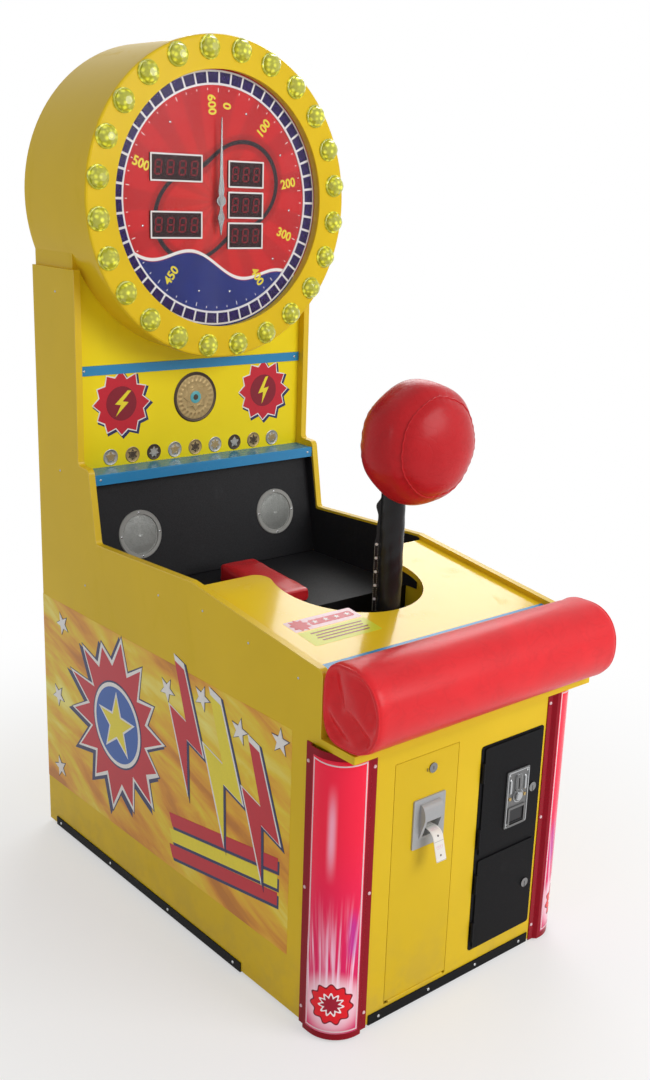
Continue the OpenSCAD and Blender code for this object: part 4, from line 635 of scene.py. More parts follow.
def on_back(x, z):
    """A place on the back: u to the right as the back is seen, v up."""
    return plane((x, BACK_Y, z), (-1, 0, 0), (0, 0, 1))


def on_side(side, y, z, x=SIDE_X):
    """A place on a side, -1 left or 1 right: u to the right as that side is seen, v up."""
    return plane((side * x, y, z), (0, side, 0), (0, 0, 1))


def on_deck(x, v):
    """A place on the deck, v up its slope from DECK_Y and DECK_Z."""
    c, s = math.cos(DECK_SLOPE), math.sin(DECK_SLOPE)
    return plane((x, DECK_Y + v * c, DECK_Z + v * s), (1, 0, 0), (0, c, s))


def on_board(x, v):
    """A place on the speakers' leaning board, v up its face from its foot."""
    c, s = math.cos(BOARD_LEAN), math.sin(BOARD_LEAN)
    return plane((x, BOARD_Y + v * s, PIT_Z + v * c), (1, 0, 0), (0, s, c))


def on_cover(side, lift=0.3):
    """A corner cover's bulge: u runs along its plan from the side round the corner to the front, v is z.
    The plan is a straight run of 17, a quarter circle of radius 78 and a straight run of 9."""
    run, radius, x_out, y_out = 17.0, 78.0, SIDE_X + 11, -11.0
    arc = radius * math.pi / 2

    def place(u, v, w):
        u, v, w = np.broadcast_arrays(u, v, w)
        turn = np.clip((u - run) / radius, 0, math.pi / 2)
        reach = radius + w + lift
        x = radius - x_out - reach * np.cos(turn) + np.maximum(u - run - arc, 0)
        y = radius + y_out - reach * np.sin(turn) + np.maximum(run - u, 0)
        return np.stack([-side * x, y, v + 0 * u], -1)

    return place


def plate(shape, place, outline, low, high, mark=0, draw=0.0):
    """A flat piece: its outline, anticlockwise, from height low to high, where it is drawn in by a share."""
    outline = np.asarray(outline, float)
    n = len(outline)
    inner = outline.mean(0) + (outline - outline.mean(0)) * (1 - draw)
    points = np.concatenate([place(*outline.T, low), place(*inner.T, high)])
    i = np.arange(n)
    j = (i + 1) % n
    sides = np.stack([i, j, j + n, i + n], -1).tolist()
    shape.add(points, [i[::-1].tolist(), (i + n).tolist()] + sides, mark)


def band(shape, place, line, low, high, width, mark=0):
    """A closed band along a line: each point goes out and in along its corner's bisector,
    (a + b) / (1 + a.b) for the unit normals a and b of its two edges, times half the width."""
    line = np.asarray(line, float)
    along = np.roll(line, -1, 0) - line
    along /= np.linalg.norm(along, axis=1)[:, None]
    out = np.stack([along[:, 1], -along[:, 0]], -1)
    before = np.roll(out, 1, 0)
    side = (out + before) / np.maximum(0.25, 1 + (out * before).sum(1))[:, None] * width / 2
    rings = [(line - side, low), (line + side, low), (line + side, high), (line - side, high)]
    points = np.stack([place(*ring.T, height) for ring, height in rings], 1)
    shape.add(points, grid(len(line), 4, True, True), mark)


def full_turn(n):
    """n angles at equal steps round a circle, from 0."""
    return np.linspace(0, 2 * np.pi, n, endpoint=False)


def turned(shape, place, profile, n=32, mark=0, shaped=None):
    """A turned body: rows of (radius, height) round the place's axis; shaped(angle, r, h) may vary it."""
    angle = full_turn(n)[:, None]
    r, h = np.asarray(profile, float).T[:, None, :]
    if shaped:
        r, h = shaped(angle, r, h)
    points = place(r * np.cos(angle), r * np.sin(angle), h + 0 * angle)
    shape.add(points, grid(n, len(profile), True), mark)


def cord_round(shape, line, radius, n=8, closed=True, mark=0):
    """A round cord: a circle of n points in the plane across the line at each of its points."""
    line = np.asarray(line, float)
    if closed:
        along = np.roll(line, -1, 0) - np.roll(line, 1, 0)
    else:
        along = np.gradient(line, axis=0)
    along /= np.linalg.norm(along, axis=1)[:, None]
    aside = np.cross(along, (0.31, 0.17, 0.94))
    aside /= np.linalg.norm(aside, axis=1)[:, None]
    over = np.cross(along, aside)
    t = full_turn(n)[None, :, None]
    ring = (aside[:, None] * np.cos(t) + over[:, None] * np.sin(t)) * radius
    faces = grid(len(line), n, closed, True).tolist()
    if not closed:
        faces += end_faces(len(line), n)
    shape.add(line[:, None] + ring, faces, mark)


def round_points(radius, angle, centre=(0, 0)):
    """Points at a radius and an angle from a centre."""
    return np.stack([centre[0] + radius * np.cos(angle), centre[1] + radius * np.sin(angle)], -1)


def circle_line(radius, n=64, centre=(0, 0)):
    """A circle of n points, anticlockwise."""
    return round_points(radius, full_turn(n), centre)


def star_line(tips, outer, inner, centre=(0, 0), turn=90.0, uneven=0.0, seed=1):
    """A star: its corners lie on two radii in turn; an uneven one varies them by seeded shares."""
    angle = np.radians(turn) + np.arange(2 * tips) * np.pi / tips
    r = np.where(np.arange(2 * tips) % 2 == 0, outer, inner).astype(float)
    r = r * (1 + uneven * (np.random.default_rng(seed).random(2 * tips) - 0.5))
    return round_points(r, angle, centre)


def round_box(width, height, radius, centre=(0, 0), n=6):
    """A rectangle with round corners, anticlockwise: four quarter circles, each turned by 90 degrees."""
    angle = np.linspace(0, np.pi / 2, n)
    x, y = width / 2 - radius, height / 2 - radius
    quarters = [round_points(radius, angle + k * np.pi / 2, corner)
                for k, corner in enumerate([(x, y), (-x, y), (-x, -y), (x, -y)])]
    return np.concatenate(quarters) + centre


def bolt_line(size, centre=(0, 0), turn=0.0):
    """A lightning bolt of seven corners, size high, turned anticlockwise by degrees."""
    corner = np.array([(0.18, 0.5), (-0.26, -0.06), (-0.02, -0.06), (-0.16, -0.5), (0.28, 0.08),
                       (0.03, 0.08), (0.32, 0.5)]) * size
    c, s = math.cos(math.radians(turn)), math.sin(math.radians(turn))
    return corner @ np.array([[c, s], [-s, c]]) + centre


def evened(line, n, closed=True):
    """A line with n points at equal distances along it."""
    line = np.asarray(line, float)
    if closed:
        line = np.concatenate([line, line[:1]])
    run = np.concatenate([[0], np.cumsum(np.linalg.norm(np.diff(line, axis=0), axis=1))])
    at = np.linspace(0, run[-1], n, endpoint=not closed)
    return np.stack([np.interp(at, run, part) for part in line.T], -1)


def power(value, exponent):
    """A power that keeps its base's sign."""
    return np.sign(value) * np.abs(value) ** exponent


# Pieces

def add_object(name, data):
    """Puts a mesh, curve, camera or light in the scene."""
    added = bpy.data.objects.new(name, data)
    bpy.context.scene.collection.objects.link(added)
    return added


def link(name, mesh, body, stands_for=()):
    """Puts a mesh in the scene as a piece that rides on a body."""
    piece = add_object(name, mesh)
    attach(piece, body)
    if stands_for:
        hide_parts(*stands_for)
    return piece


def new_mesh(name, points, faces, finishes):
    """A mesh of places in millimetres with its finishes."""
    mesh = bpy.data.meshes.new(name)
    mesh.from_pydata(to_scene(points).tolist(), [], faces)
    for each in finishes:
        mesh.materials.append(finish(each))
    return mesh


def turn_outwards(mesh, merged=False):
    """Turns all faces outwards, where asked with double points and faces without area taken out first."""
    work = bmesh.new()
    work.from_mesh(mesh)
    if merged:
        bmesh.ops.remove_doubles(work, verts=work.verts, dist=2e-6)
        bmesh.ops.dissolve_degenerate(work, edges=work.edges, dist=1e-7)
    bmesh.ops.recalc_face_normals(work, faces=work.faces)
    work.to_mesh(mesh)
    work.free()


def make(name, shape, finishes, body="cabinet", stands_for=(), sharp=35.0):
    """Turns a shape into a piece, shaded smooth up to an angle."""
    mesh = new_mesh(name, np.concatenate(shape.points), shape.faces, finishes)
    mesh.polygons.foreach_set("material_index", shape.marks)
    turn_outwards(mesh, True)
    mesh.shade_smooth()
    mesh.set_sharp_from_angle(angle=math.radians(sharp))
    return link(name, mesh, body, stands_for)


def add_finer(piece):
    """Smooths a piece by one subdivision."""
    finer = piece.modifiers.new("finer", "SUBSURF")
    finer.levels = finer.render_levels = 1


def open_sheet(name, points, u, v, finish_name, thickness, body, stands_for=(), finer=True):
    """A thin sheet from a grid of points with its own map (u, v), made finer or not, and thick."""
    rows, columns = points.shape[:2]
    mesh = new_mesh(name, points.reshape(-1, 3), grid(rows, columns).tolist(), [finish_name])
    corner = np.zeros(len(mesh.loops), np.int32)
    mesh.loops.foreach_get("vertex_index", corner)
    u, v = [np.ravel(part + np.zeros((rows, columns)))[corner] for part in (u, v)]
    layer = mesh.uv_layers.new(name="surface")
    layer.data.foreach_set("uv", np.stack([u, v], -1).astype(np.float32).ravel())
    mesh.shade_smooth()
    piece = link(name, mesh, body, stands_for)
    if finer:
        add_finer(piece)
    wall = piece.modifiers.new("wall", "SOLIDIFY")
    wall.thickness = thickness / MM
    wall.offset = 0.0
    return piece


def padded_skin(name, points, held, ease, finish_name, body, node, swell, growth, cap):
    """A padded piece: rings of points, closed at both ends, blown up as cloth, then smoothed once.
    held is 1 where the cloth is fastened, ease is the share of spare cloth, cap the farthest move."""
    rings, n = points.shape[:2]
    faces = grid(rings, n, False, True).tolist() + end_faces(rings, n)
    mesh = new_mesh(name, points.reshape(-1, 3), faces, [finish_name])
    turn_outwards(mesh)
    mesh.shade_smooth()
    piece = link(name, mesh, body, (node,))
    blow_up(piece, np.ravel(held), np.ravel(ease), swell, growth, cap)
    add_finer(piece)
    return piece


def vertex_places(mesh):
    """A mesh's points as rows of three, in metres."""
    places = np.zeros(len(mesh.vertices) * 3, np.float32)
    mesh.vertices.foreach_get("co", places)
    return places.reshape(-1, 3)


def blow_up(piece, held, ease, swell, growth, cap, frames=20):
    """Cloth under air pressure without gravity. A point's move m is kept to cap * tanh(m / cap)."""
    mesh, scene = piece.data, bpy.context.scene
    rest = vertex_places(mesh)
    piece.vertex_groups.new(name="held").add(np.flatnonzero(held > 0.5).tolist(), 1.0, "REPLACE")
    spare = piece.vertex_groups.new(name="spare")
    for level in (0.25, 0.5, 0.75, 1.0):
        spare.add(np.flatnonzero(np.abs(ease - level) <= 0.125).tolist(), level, "REPLACE")
    cloth = piece.modifiers.new("cloth", "CLOTH")
    stuff = cloth.settings
    stuff.quality = 6
    stuff.mass = 0.2
    stuff.air_damping = 3.0
    stuff.tension_stiffness = stuff.compression_stiffness = 22.0
    stuff.shear_stiffness = 8.0
    stuff.bending_stiffness = 0.6
    stuff.vertex_group_mass = "held"
    stuff.use_pressure = True
    stuff.uniform_pressure_force = swell
    stuff.vertex_group_shrink = "spare"
    stuff.shrink_min = 0.0
    stuff.shrink_max = -growth
    stuff.effector_weights.gravity = 0.0
    cloth.collision_settings.use_collision = False
    cloth.point_cache.frame_start = 1
    cloth.point_cache.frame_end = frames
    for step in range(1, frames + 1):
        scene.frame_set(step)
    shown = piece.evaluated_get(bpy.context.evaluated_depsgraph_get())
    move = vertex_places(shown.data) - rest
    piece.modifiers.remove(cloth)
    scene.frame_set(1)
    distance = np.linalg.norm(move, axis=1, keepdims=True) + 1e-9
    limit = cap / MM
    mesh.vertices.foreach_set("co", (rest + move * limit * np.tanh(distance / limit) / distance).ravel())
    mesh.update()


def ring_of(piece, ring, n):
    """One ring of a padded skin as it is now."""
    return from_scene(vertex_places(piece.data)[ring * n:(ring + 1) * n])


def screw_heads(name, places, radius, finish_name="chrome", body="cabinet"):
    """Pan heads: a low dome of 20 points round, with a cross sunk into its middle."""
    shape = Shape()

    def crossed(angle, r, h):
        arm = (np.abs(np.sin(2 * angle)) < 0.35) & (r < radius * 0.62) & (h > 0)
        return r, h - arm * radius * 0.22

    share = np.array([0.0, 1.0, 0.98, 0.8, 0.6, 0.3, 0.0])
    rise = np.array([-0.05, -0.05, 0.16, 0.42, 0.5, 0.52, 0.52])
    for place in places:
        turned(shape, place, np.stack([share * radius, rise * radius], -1), 20, 0, crossed)
    return make(name, shape, [finish_name], body, sharp=50)


# Sizes and colours that a user would change

def colour(name, default, description):
    return FloatVectorProperty(name=name, subtype="COLOR", size=3, min=0, max=1, default=default,
                               description=description)


def length(name, millimetres, description):
    return FloatProperty(name=name, default=millimetres / MM, min=0, unit="LENGTH", precision=4,
                         description=description)


class MachineColours(PropertyGroup):
    """Colours of the finishes"""
    yellow: colour("Yellow", (0.80, 0.545, 0.018), "Lacquer of the cabinet and the head")
    panel: colour("Panel", (0.93, 0.745, 0.018), "Lacquer of the upper front panel")
    vinyl: colour("Vinyl", (0.86, 0.024, 0.032), "Vinyl of the bag and the cushions")
    cover: colour("Cover", (0.30, 0.004, 0.015), "Gloss plastic of the corner covers")
    blue: colour("Blue", (0.026, 0.25, 0.52), "The shelf and the two blue strips")
    black: colour("Black", (0.014, 0.014, 0.016), "Painted boards and steel")
    dial: colour("Dial", (0.60, 0.006, 0.010), "Print of the dial")
    purple: colour("Purple", (0.035, 0.010, 0.16), "Windows of the score ring")
    lamp: colour("Lamp", (0.66, 0.66, 0.05), "Domes of the lamps")


class MachinePads(PropertyGroup):
    """Padded pieces and the sleeve"""
    pressure: FloatProperty(name="Pressure", default=4.0, min=0,
                            description="Air pressure that blows up the padded pieces")
    spare: FloatProperty(name="Spare cloth", default=0.05, min=0, max=0.3, subtype="FACTOR",
                         description="How much longer the vinyl is than its place along the seams")
    welt: length("Welt", 1.7, "Radius of the sewn welts")
    fold: length("End fold", 9.0, "Depth of the folds in the cushion's ends")
    cushion_move: length("Cushion move", 8.0, "Farthest that the cushion's vinyl moves when it is filled")
    bag_move: length("Bag move", 6.0, "Farthest that the bag's vinyl moves when it is filled")
    snaps: IntProperty(name="Snaps", default=5, min=1, max=12, description="Snaps on the sleeve's flap")
    snap_pitch: length("Snap pitch", 34.0, "Distance from snap to snap")


class MachinePrints(PropertyGroup):
    """Generic prints"""
    stars: IntProperty(name="Stars", default=7, min=0, max=20,
                       description="Small stars on each side's print")
    seed: IntProperty(name="Seed", default=5, min=0, description="Picks the bursts' uneven tips")
    discs: IntProperty(name="Discs", default=9, min=1, max=15, description="Small discs on the upper panel")
    film: length("Film", 0.35, "Thickness of one layer of printed film")
    number: length("Number height", 33.0, "Size of the dial's numbers")


class MachineStage(PropertyGroup):
    """Camera and lights"""
    focal: FloatProperty(name="Focal length", default=41.52, min=10, max=200, subtype="DISTANCE_CAMERA",
                         description="The camera's focal length in millimetres")
    yaw: FloatProperty(name="Yaw", default=math.radians(41.82), subtype="ANGLE",
                       description="Turn of the view from the y axis towards the x axis")
    pitch: FloatProperty(name="Pitch", default=math.radians(-16.32), subtype="ANGLE",
                         description="Tilt of the view over the horizon")
    roll: FloatProperty(name="Roll", default=math.radians(2.34), subtype="ANGLE",
                        description="Turn of the camera about its own axis")
    sky: FloatProperty(name="Sky", default=0.44, min=0, description="Strength of the light from all round")
    key: FloatProperty(name="Key", default=135.0, min=0, subtype="POWER",
                       description="Power of the large lamp in front")
    back: FloatProperty(name="Back", default=70.0, min=0, subtype="POWER",
                        description="Power of the lamp that gives the deck its sheen")


# Operators

NODE_FINISHES = {
    "yellow lacquer": ["side_panel_left", "side_panel_right", "front_panel", "front_ledge", "back_panel",
                       "rear_door", "head_shell", "head_ring"],
    "deck lacquer": ["deck_plate"],
    "panel lacquer": ["upper_front_panel"],
    "door lacquer": ["ticket_door"],
    "edge strip": ["edge_mouldings"],
    "plain board": ["base_board"],
    "black board": ["pit_liners", "pit_tub", "speaker_board"],
    "black crackle": ["base_rails", "coin_frame", "coin_door_upper", "coin_door_lower", "pivot_frame"],
    "rubber": ["levelling_feet", "caster_wheel_left", "caster_wheel_right"],
    "steel": ["caster_brackets", "cash_box", "ticket_dispenser", "punch_arm", "pivot_shaft",
              "latch_solenoid", "needle_motor"],
    "steel across": ["coin_mech"],
    "black plastic": ["power_inlet", "coin_return_flap"],
    "chrome": ["coin_return_button"],
    "dull chrome": ["rear_lock", "upper_lock", "lower_lock", "ticket_lock", "needle"],
    "red plastic": ["power_switch"],
    "lamp tube": ["corner_lamps"],
    "cover red": ["corner_cover_left", "corner_cover_right"],
    "blue trim": ["blue_trims"],
    "grey plastic": ["ticket_mouth", "pillow_blocks"],
    "speaker face": ["speakers"],
    "dial film": ["dial_plate"],
    "white plastic": ["score_ring"],
    "purple lens": ["score_lenses"],
    "clear sheet": ["dial_glass"],
    "display case": ["digit_displays"],
    "circuit": ["electronics"],
}


class MACHINE_OT_finish_frame(Operator):
    """Give the frame's rigid nodes their finishes"""
    bl_idname = "machine.finish_frame"
    bl_label = "Finish the frame"

    def execute(self, context):
        for name, nodes in NODE_FINISHES.items():
            for node in nodes:
                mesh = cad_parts[node].data
                mesh.materials.clear()
                mesh.materials.append(finish(name))
        return {"FINISHED"}


class MACHINE_OT_cushion(Operator):
    """Make the long front cushion with its gathered ends"""
    bl_idname = "machine.cushion"
    bl_label = "Front cushion"

    def execute(self, context):
        pads = context.scene.machine_pads
        low, high = corners("front_cushion")
        half, n, nose_y = high[0], 84, -20.0
        middle_z = (low[2] + high[2]) / 2
        # The section is a superellipse of two halves: flatter towards the back, rounder in front
        t = full_turn(720)
        back = np.cos(t) > 0
        y = nose_y + np.where(back, (high[1] - nose_y) * power(np.cos(t), 0.45),
                              (nose_y - low[1]) * power(np.cos(t), 0.92))
        rise = np.where(back, power(np.sin(t), 0.8), power(np.sin(t), 0.9))
        z = middle_z + (high[2] - low[2]) / 2 * rise
        section = evened(np.stack([y, z], -1), n)
        # From the middle of the set-in end face out over the welt and on to the long body: (inset, share)
        end = [(7, 0.05), (8, 0.2), (8, 0.36), (8, 0.5), (9, 0.62), (10, 0.72), (9, 0.80), (5, 0.865),
               (4, 0.905), (6, 0.945), (11, 0.972), (18, 0.985), (26, 0.985), (34, 0.982)]
        welt_ring, body_inset = 9, 44
        body = [(x, 0.98) for x in np.linspace(half - body_inset, body_inset - half, 66)]
        stations = [(half - inset, share) for inset, share in end] + body
        stations += [(inset - half, share) for inset, share in end[::-1]]
        x, share = [part[:, None] for part in np.array(stations).T]
        centre = np.array([(low[1] + high[1]) / 2 + 20, middle_z])
        ring = centre + (section[None] - centre) * share[..., None]
        # The ends' folds run down from the back to the front: round crests |sin| with sharp valleys between
        height_share = (ring[..., 1] - low[2]) / (high[2] - low[2])
        depth_share = (ring[..., 0] - low[1]) / (high[1] - low[1])
        diagonal = height_share - depth_share
        on_end = np.clip((0.9 - share) / 0.14, 0, 1) * np.clip(share / 0.3, 0, 1)
        crest = np.abs(np.sin(diagonal * 5.2 + 0.5 + 0.5 * np.sin(ring[..., 1] / 31)))
        fold = (crest - 0.8) * 2 * pads.fold * MM
        points = np.stack([x + np.sign(x) * fold * on_end, ring[..., 0], ring[..., 1]], -1)
        points[..., 1] = np.minimum(points[..., 1], high[1] - 0.4)
        points[..., 2] = np.maximum(points[..., 2], low[2] + 0.4)
        # Fastened below, behind and in the folds' valleys; spare cloth near the ends and along the top
        held = (points[..., 2] < low[2] + 5) | (points[..., 1] > high[1] - 3)
        held = held | (crest < 0.3) & (on_end > 0.6)
        near_end = np.clip(1.15 - (half - 34 - np.abs(x)) / 70, 0, 1) * np.ones(n)
        ease = np.maximum(np.round(near_end * 4) / 4, 0.25 * (points[..., 2] > high[2] - 40))
        cushion = padded_skin("front_cushion_skin", points, held, ease, "red vinyl", "cabinet",
                              "front_cushion", pads.pressure, pads.spare, pads.cushion_move * MM)
        shape = Shape()
        for number in (welt_ring, len(stations) - 1 - welt_ring):
            cord_round(shape, evened(ring_of(cushion, number, n), 150), pads.welt * MM)
        make("cushion_welts", shape, ["red vinyl"])
        return {"FINISHED"}


class MACHINE_OT_stop_pad(Operator):
    """Make the padded wedge that the arm falls back on"""
    bl_idname = "machine.stop_pad"
    bl_label = "Stop pad"

    def execute(self, context):
        pads = context.scene.machine_pads
        low, high = corners("stop_pad")
        n, front_share, depth = 72, 0.62, high[1] - low[1]
        rim = np.array([0.0, 0.8, 3.0, 7.0])
        v = np.concatenate([rim, np.linspace(13, depth - 13, 26), depth - rim[::-1]])[:, None]
        # Rounded front and back: over the last 12 mm the section draws in by 9 mm on a quarter ellipse
        near = np.minimum(np.minimum(v, depth - v) / 12, 1)
        drawn = 1 + 9 * (1 - np.sqrt(1 - (1 - near) ** 2))
        tall = (high[2] - low[2]) * (front_share + (1 - front_share) * v / depth)
        t = full_turn(n)[None]
        x = (high[0] - drawn) * power(np.cos(t), 0.26)
        z = low[2] + tall / 2 + (tall / 2 - np.where(np.sin(t) > 0, drawn, 0.4)) * power(np.sin(t), 0.32)
        points = np.stack([x, low[1] + v + 0 * t, z], -1)
        # Fastened along its foot
        held = points[..., 2] < low[2] + 3
        padded_skin("stop_pad_skin", points, held, np.full(held.shape, 0.5), "pad vinyl", "cabinet",
                    "stop_pad", pads.pressure * 0.6, pads.spare * 0.5, 3.0)
        return {"FINISHED"}


class MACHINE_OT_bag(Operator):
    """Make the punch bag: two round faces sewn to a band"""
    bl_idname = "machine.bag"
    bl_label = "Punch bag"

    def execute(self, context):
        pads = context.scene.machine_pads
        low, high = corners("punch_bag")
        radius, half = (high[0] - low[0]) / 2, (high[1] - low[1]) / 2
        middle = (low + high) / 2
        n, rows, seam_r, foot_r, crease_down = 108, 61, 119.0, 38, 92
        a = np.linspace(-np.pi / 2, np.pi / 2, 721)
        profile = np.stack([radius * power(np.cos(a), 0.86), half * power(np.sin(a), 0.92)], -1)
        r, y = [part[:, None] for part in evened(profile, rows, False).T]
        r = np.maximum(r, 2.0)
        t = full_turn(n)[None]
        front_seam = int(np.argmin(np.abs(r[:rows // 2, 0] - seam_r)))
        seams = [front_seam, rows - 1 - front_seam]
        row = np.arange(rows)[:, None]
        near_seam = sum(np.exp(-((row - seam) / 2.2) ** 2) for seam in seams)
        # Drawn in along the seams, a slightly many-sided outline, and puckers that fade from the seams
        share = 0.98 - 0.03 * near_seam + 0.015 * np.cos(7 * t + 0.7) * (r / radius) ** 2
        share = share + 0.009 * np.sin(34 * t + 3 * np.sin(3 * t)) * near_seam
        crease = 3.5 * np.exp(-((np.sin(t) * r + crease_down) / 5) ** 2) * (y > half * 0.45)
        points = middle + np.stack([r * np.cos(t) * share, y * 0.985 - crease, r * np.sin(t) * share], -1)
        # Fastened at every fourth stitch of the seams, and round the foot where the arm goes in
        off_arm = np.hypot(points[..., 0], points[..., 1] - PIVOT_Y)
        held = np.isin(row, seams) & (np.arange(n)[None] % 4 == 0)
        held = held | (off_arm < foot_r) & (points[..., 2] < middle[2])
        ease = np.round(np.clip(near_seam * 1.1, 0, 1) * 4) / 4 * np.ones(n)
        bag = padded_skin("punch_bag_skin", points, held, ease, "bag vinyl", "arm", "punch_bag",
                          pads.pressure, pads.spare, pads.bag_move * MM)
        shape = Shape()
        for seam in seams:
            cord_round(shape, evened(ring_of(bag, seam, n), 220), pads.welt * MM * 1.3)
        make("bag_welts", shape, ["bag vinyl"], "arm")
        return {"FINISHED"}


class MACHINE_OT_sleeve(Operator):
    """Wrap the arm in its vinyl sleeve, with the flap, its snaps and its stitches"""
    bl_idname = "machine.sleeve"
    bl_label = "Arm sleeve"

    def execute(self, context):
        pads = context.scene.machine_pads
        low, high = corners("arm_sleeve")
        radius, flap_r, flap_angle, flap_share = 28.4, 40.0, math.radians(138), 0.08
        z = np.linspace(high[2] - 2, low[2] + 1, 60)[:, None]
        s = np.linspace(0, 1, 65)[None]
        # Across the cut: in along one side of the flap, round the arm, and out along its other side
        turn = np.clip((s - flap_share) / (1 - 2 * flap_share), 0, 1) * 2 * np.pi
        flap = np.clip(np.maximum(flap_share - s, s - 1 + flap_share) / flap_share, 0, 1)
        up = z - low[2]
        # The flap is drawn in and wavy between two heights, and runs out at a third
        wave_from, wave_to, flap_top = 175, 268, 285
        loose = np.clip((up - wave_from) / 30, 0, 1) * np.clip((wave_to - up) / 20, 0, 1)
        notched = 1 - loose * (0.25 + 0.3 * np.abs(np.sin(up / 17)))
        notched = notched * np.clip((flap_top - up) / 14, 0, 1)
        wrinkle = 0.5 * np.sin(z / 21 + 2 * turn) * np.sin(turn / 2) + 0.35 * np.sin(z / 7.3 - 3 * turn)
        reach = radius + wrinkle * (flap == 0) + flap * (flap_r - radius) * notched
        beside = np.where(s < 0.5, 1.0, -1.0) * (1.6 - 0.5 * flap) / reach
        angle = flap_angle + np.where((turn > 0) & (turn < 2 * np.pi), turn, beside)
        points = np.stack([reach * np.cos(angle), PIVOT_Y + reach * np.sin(angle), z + 0 * s], -1)
        width = 2 * np.pi * radius + 2 * (flap_r - radius)
        sleeve = open_sheet("arm_sleeve_wrap", points, (s - 0.5) * width, z, "black vinyl", 1.2,
                            "arm", ("arm_sleeve",))
        out = np.array([math.cos(flap_angle), math.sin(flap_angle), 0])
        face = np.array([-out[1], out[0], 0])
        flap_place = plane((0, PIVOT_Y, low[2]) + face * 1.9, -out, (0, 0, 1))
        snaps = Shape()
        snap_reach, first_snap = 34.5, 38
        for i in range(pads.snaps):
            foot = flap_place(-snap_reach, first_snap + i * pads.snap_pitch * MM, 0)
            turned(snaps, plane(foot, -out, (0, 0, 1)),
                   [(0, -0.6), (3.6, -0.6), (3.6, 0.5), (2.9, 1.1), (1.6, 0.9), (1.4, 1.5), (0, 1.7)], 18)
        snaps = make("sleeve_snaps", snaps, ["white plastic"], "arm")
        threads = Shape()
        stitches, first_stitch, pitch, stitch, thread_r = 34, 8, 5.0, 3.4, 0.32
        for reach in (38.6, 30.8):
            for i in range(stitches):
                foot = flap_place(-reach, first_stitch + i * pitch, 0)
                cord_round(threads, np.linspace(foot, foot + (0, 0, stitch), 4), thread_r, 6, False)
        threads = make("sleeve_stitches", threads, ["thread"], "arm")
        (high[2] - low[2] - 3) / MM
        return {"FINISHED"}


class MACHINE_OT_ticket(Operator):
    """Make the ticket strip that hangs out of the mouth"""
    bl_idname = "machine.ticket"
    bl_label = "Ticket strip"

    def execute(self, context):
        low, high = corners("ticket_strip")
        middle, width = (low[0] + high[0]) / 2, high[0] - low[0] - 1
        bend, turn, level, lip_y, reach, drop = 46.0, 74.0, 8, -10, 27, 22
        s = np.linspace(4, 104, 40)
        a = np.radians(np.minimum(1, s / bend) * turn)
        rest = np.maximum(0, s - bend)
        # Level out of the mouth, round most of a quarter bend, then down and slightly out
        y = np.concatenate([np.linspace(high[1] - 4, 2, level), lip_y - reach * np.sin(a) - rest * 0.26])
        z = high[2] - 0.5 - np.concatenate([np.zeros(level), drop * (1 - np.cos(a)) + rest * 0.93])
        y, z = [part[z > low[2] + 1][:, None] for part in (y, z)]
        u = np.linspace(-width / 2, width / 2, 9)[None]
        cup = 1.2 * (u / width * 2) ** 2
        points = np.stack([middle + u + 0 * y, y + cup * 0.5, z - cup * 0.3], -1)
        run = np.concatenate([[0], np.cumsum(np.hypot(np.diff(y[:, 0]), np.diff(z[:, 0])))])[:, None]
        strip = open_sheet("ticket_strip_card", points, u, run, "ticket card", 0.4, "ticket_unit",
                           ("ticket_strip",))
        width / MM
        return {"FINISHED"}


class MACHINE_OT_lamps(Operator):
    """Set the faceted lamp domes on their collars round the head"""
    bl_idname = "machine.lamps"
    bl_label = "Lamp domes"

    def execute(self, context):
        lamps, circle, radius, height, sides, tiers = 24, RING_R - 31, 29.5, 27.0, 8, 4
        collar_wall, foot = 3.4, 5.5
        ring = np.arange(tiers)[:, None]
        rise = np.radians(90 * ring / tiers)
        t = 2 * np.pi * (np.arange(sides)[None] + 0.5 * (ring % 2)) / sides
        r, h = (radius - collar_wall) * np.cos(rise), foot + (height - 6) * np.sin(rise)
        # Each tier is turned by half a side against the one below, so two triangles fill each gap
        i, k = np.arange(sides), np.arange(tiers - 1)[:, None]
        j, even = (i + 1) % sides, k % 2 == 0
        above = (k + 1) * sides
        first = np.stack([k * sides + i, k * sides + j, above + np.where(even, i, j)], -1)
        second = np.stack([k * sides + np.where(even, j, i), above + j, above + i], -1)
        faces = np.concatenate([first.reshape(-1, 3), second.reshape(-1, 3)]).tolist()
        faces += [i.tolist(), ((tiers - 1) * sides + i).tolist()]
        shape = Shape()
        for lamp in range(lamps):
            angle = math.radians(360 / lamps * (lamp + 0.5))
            place = on_front(circle * math.sin(angle), DIAL_Z + circle * math.cos(angle), RING_Y)
            shape.add(place(r * np.cos(t), r * np.sin(t), h), faces)
            turned(shape, place, [(0, 0), (radius, 0), (radius, 3.6), (radius - 1.4, 5.4), (radius - 3, 5.8),
                                  (radius - 4.6, 4.8), (0, 4.8)], 40)
        make("lamp_domes_faceted", shape, ["lamp lens"], stands_for=("lamp_domes",), sharp=12)
        return {"FINISHED"}


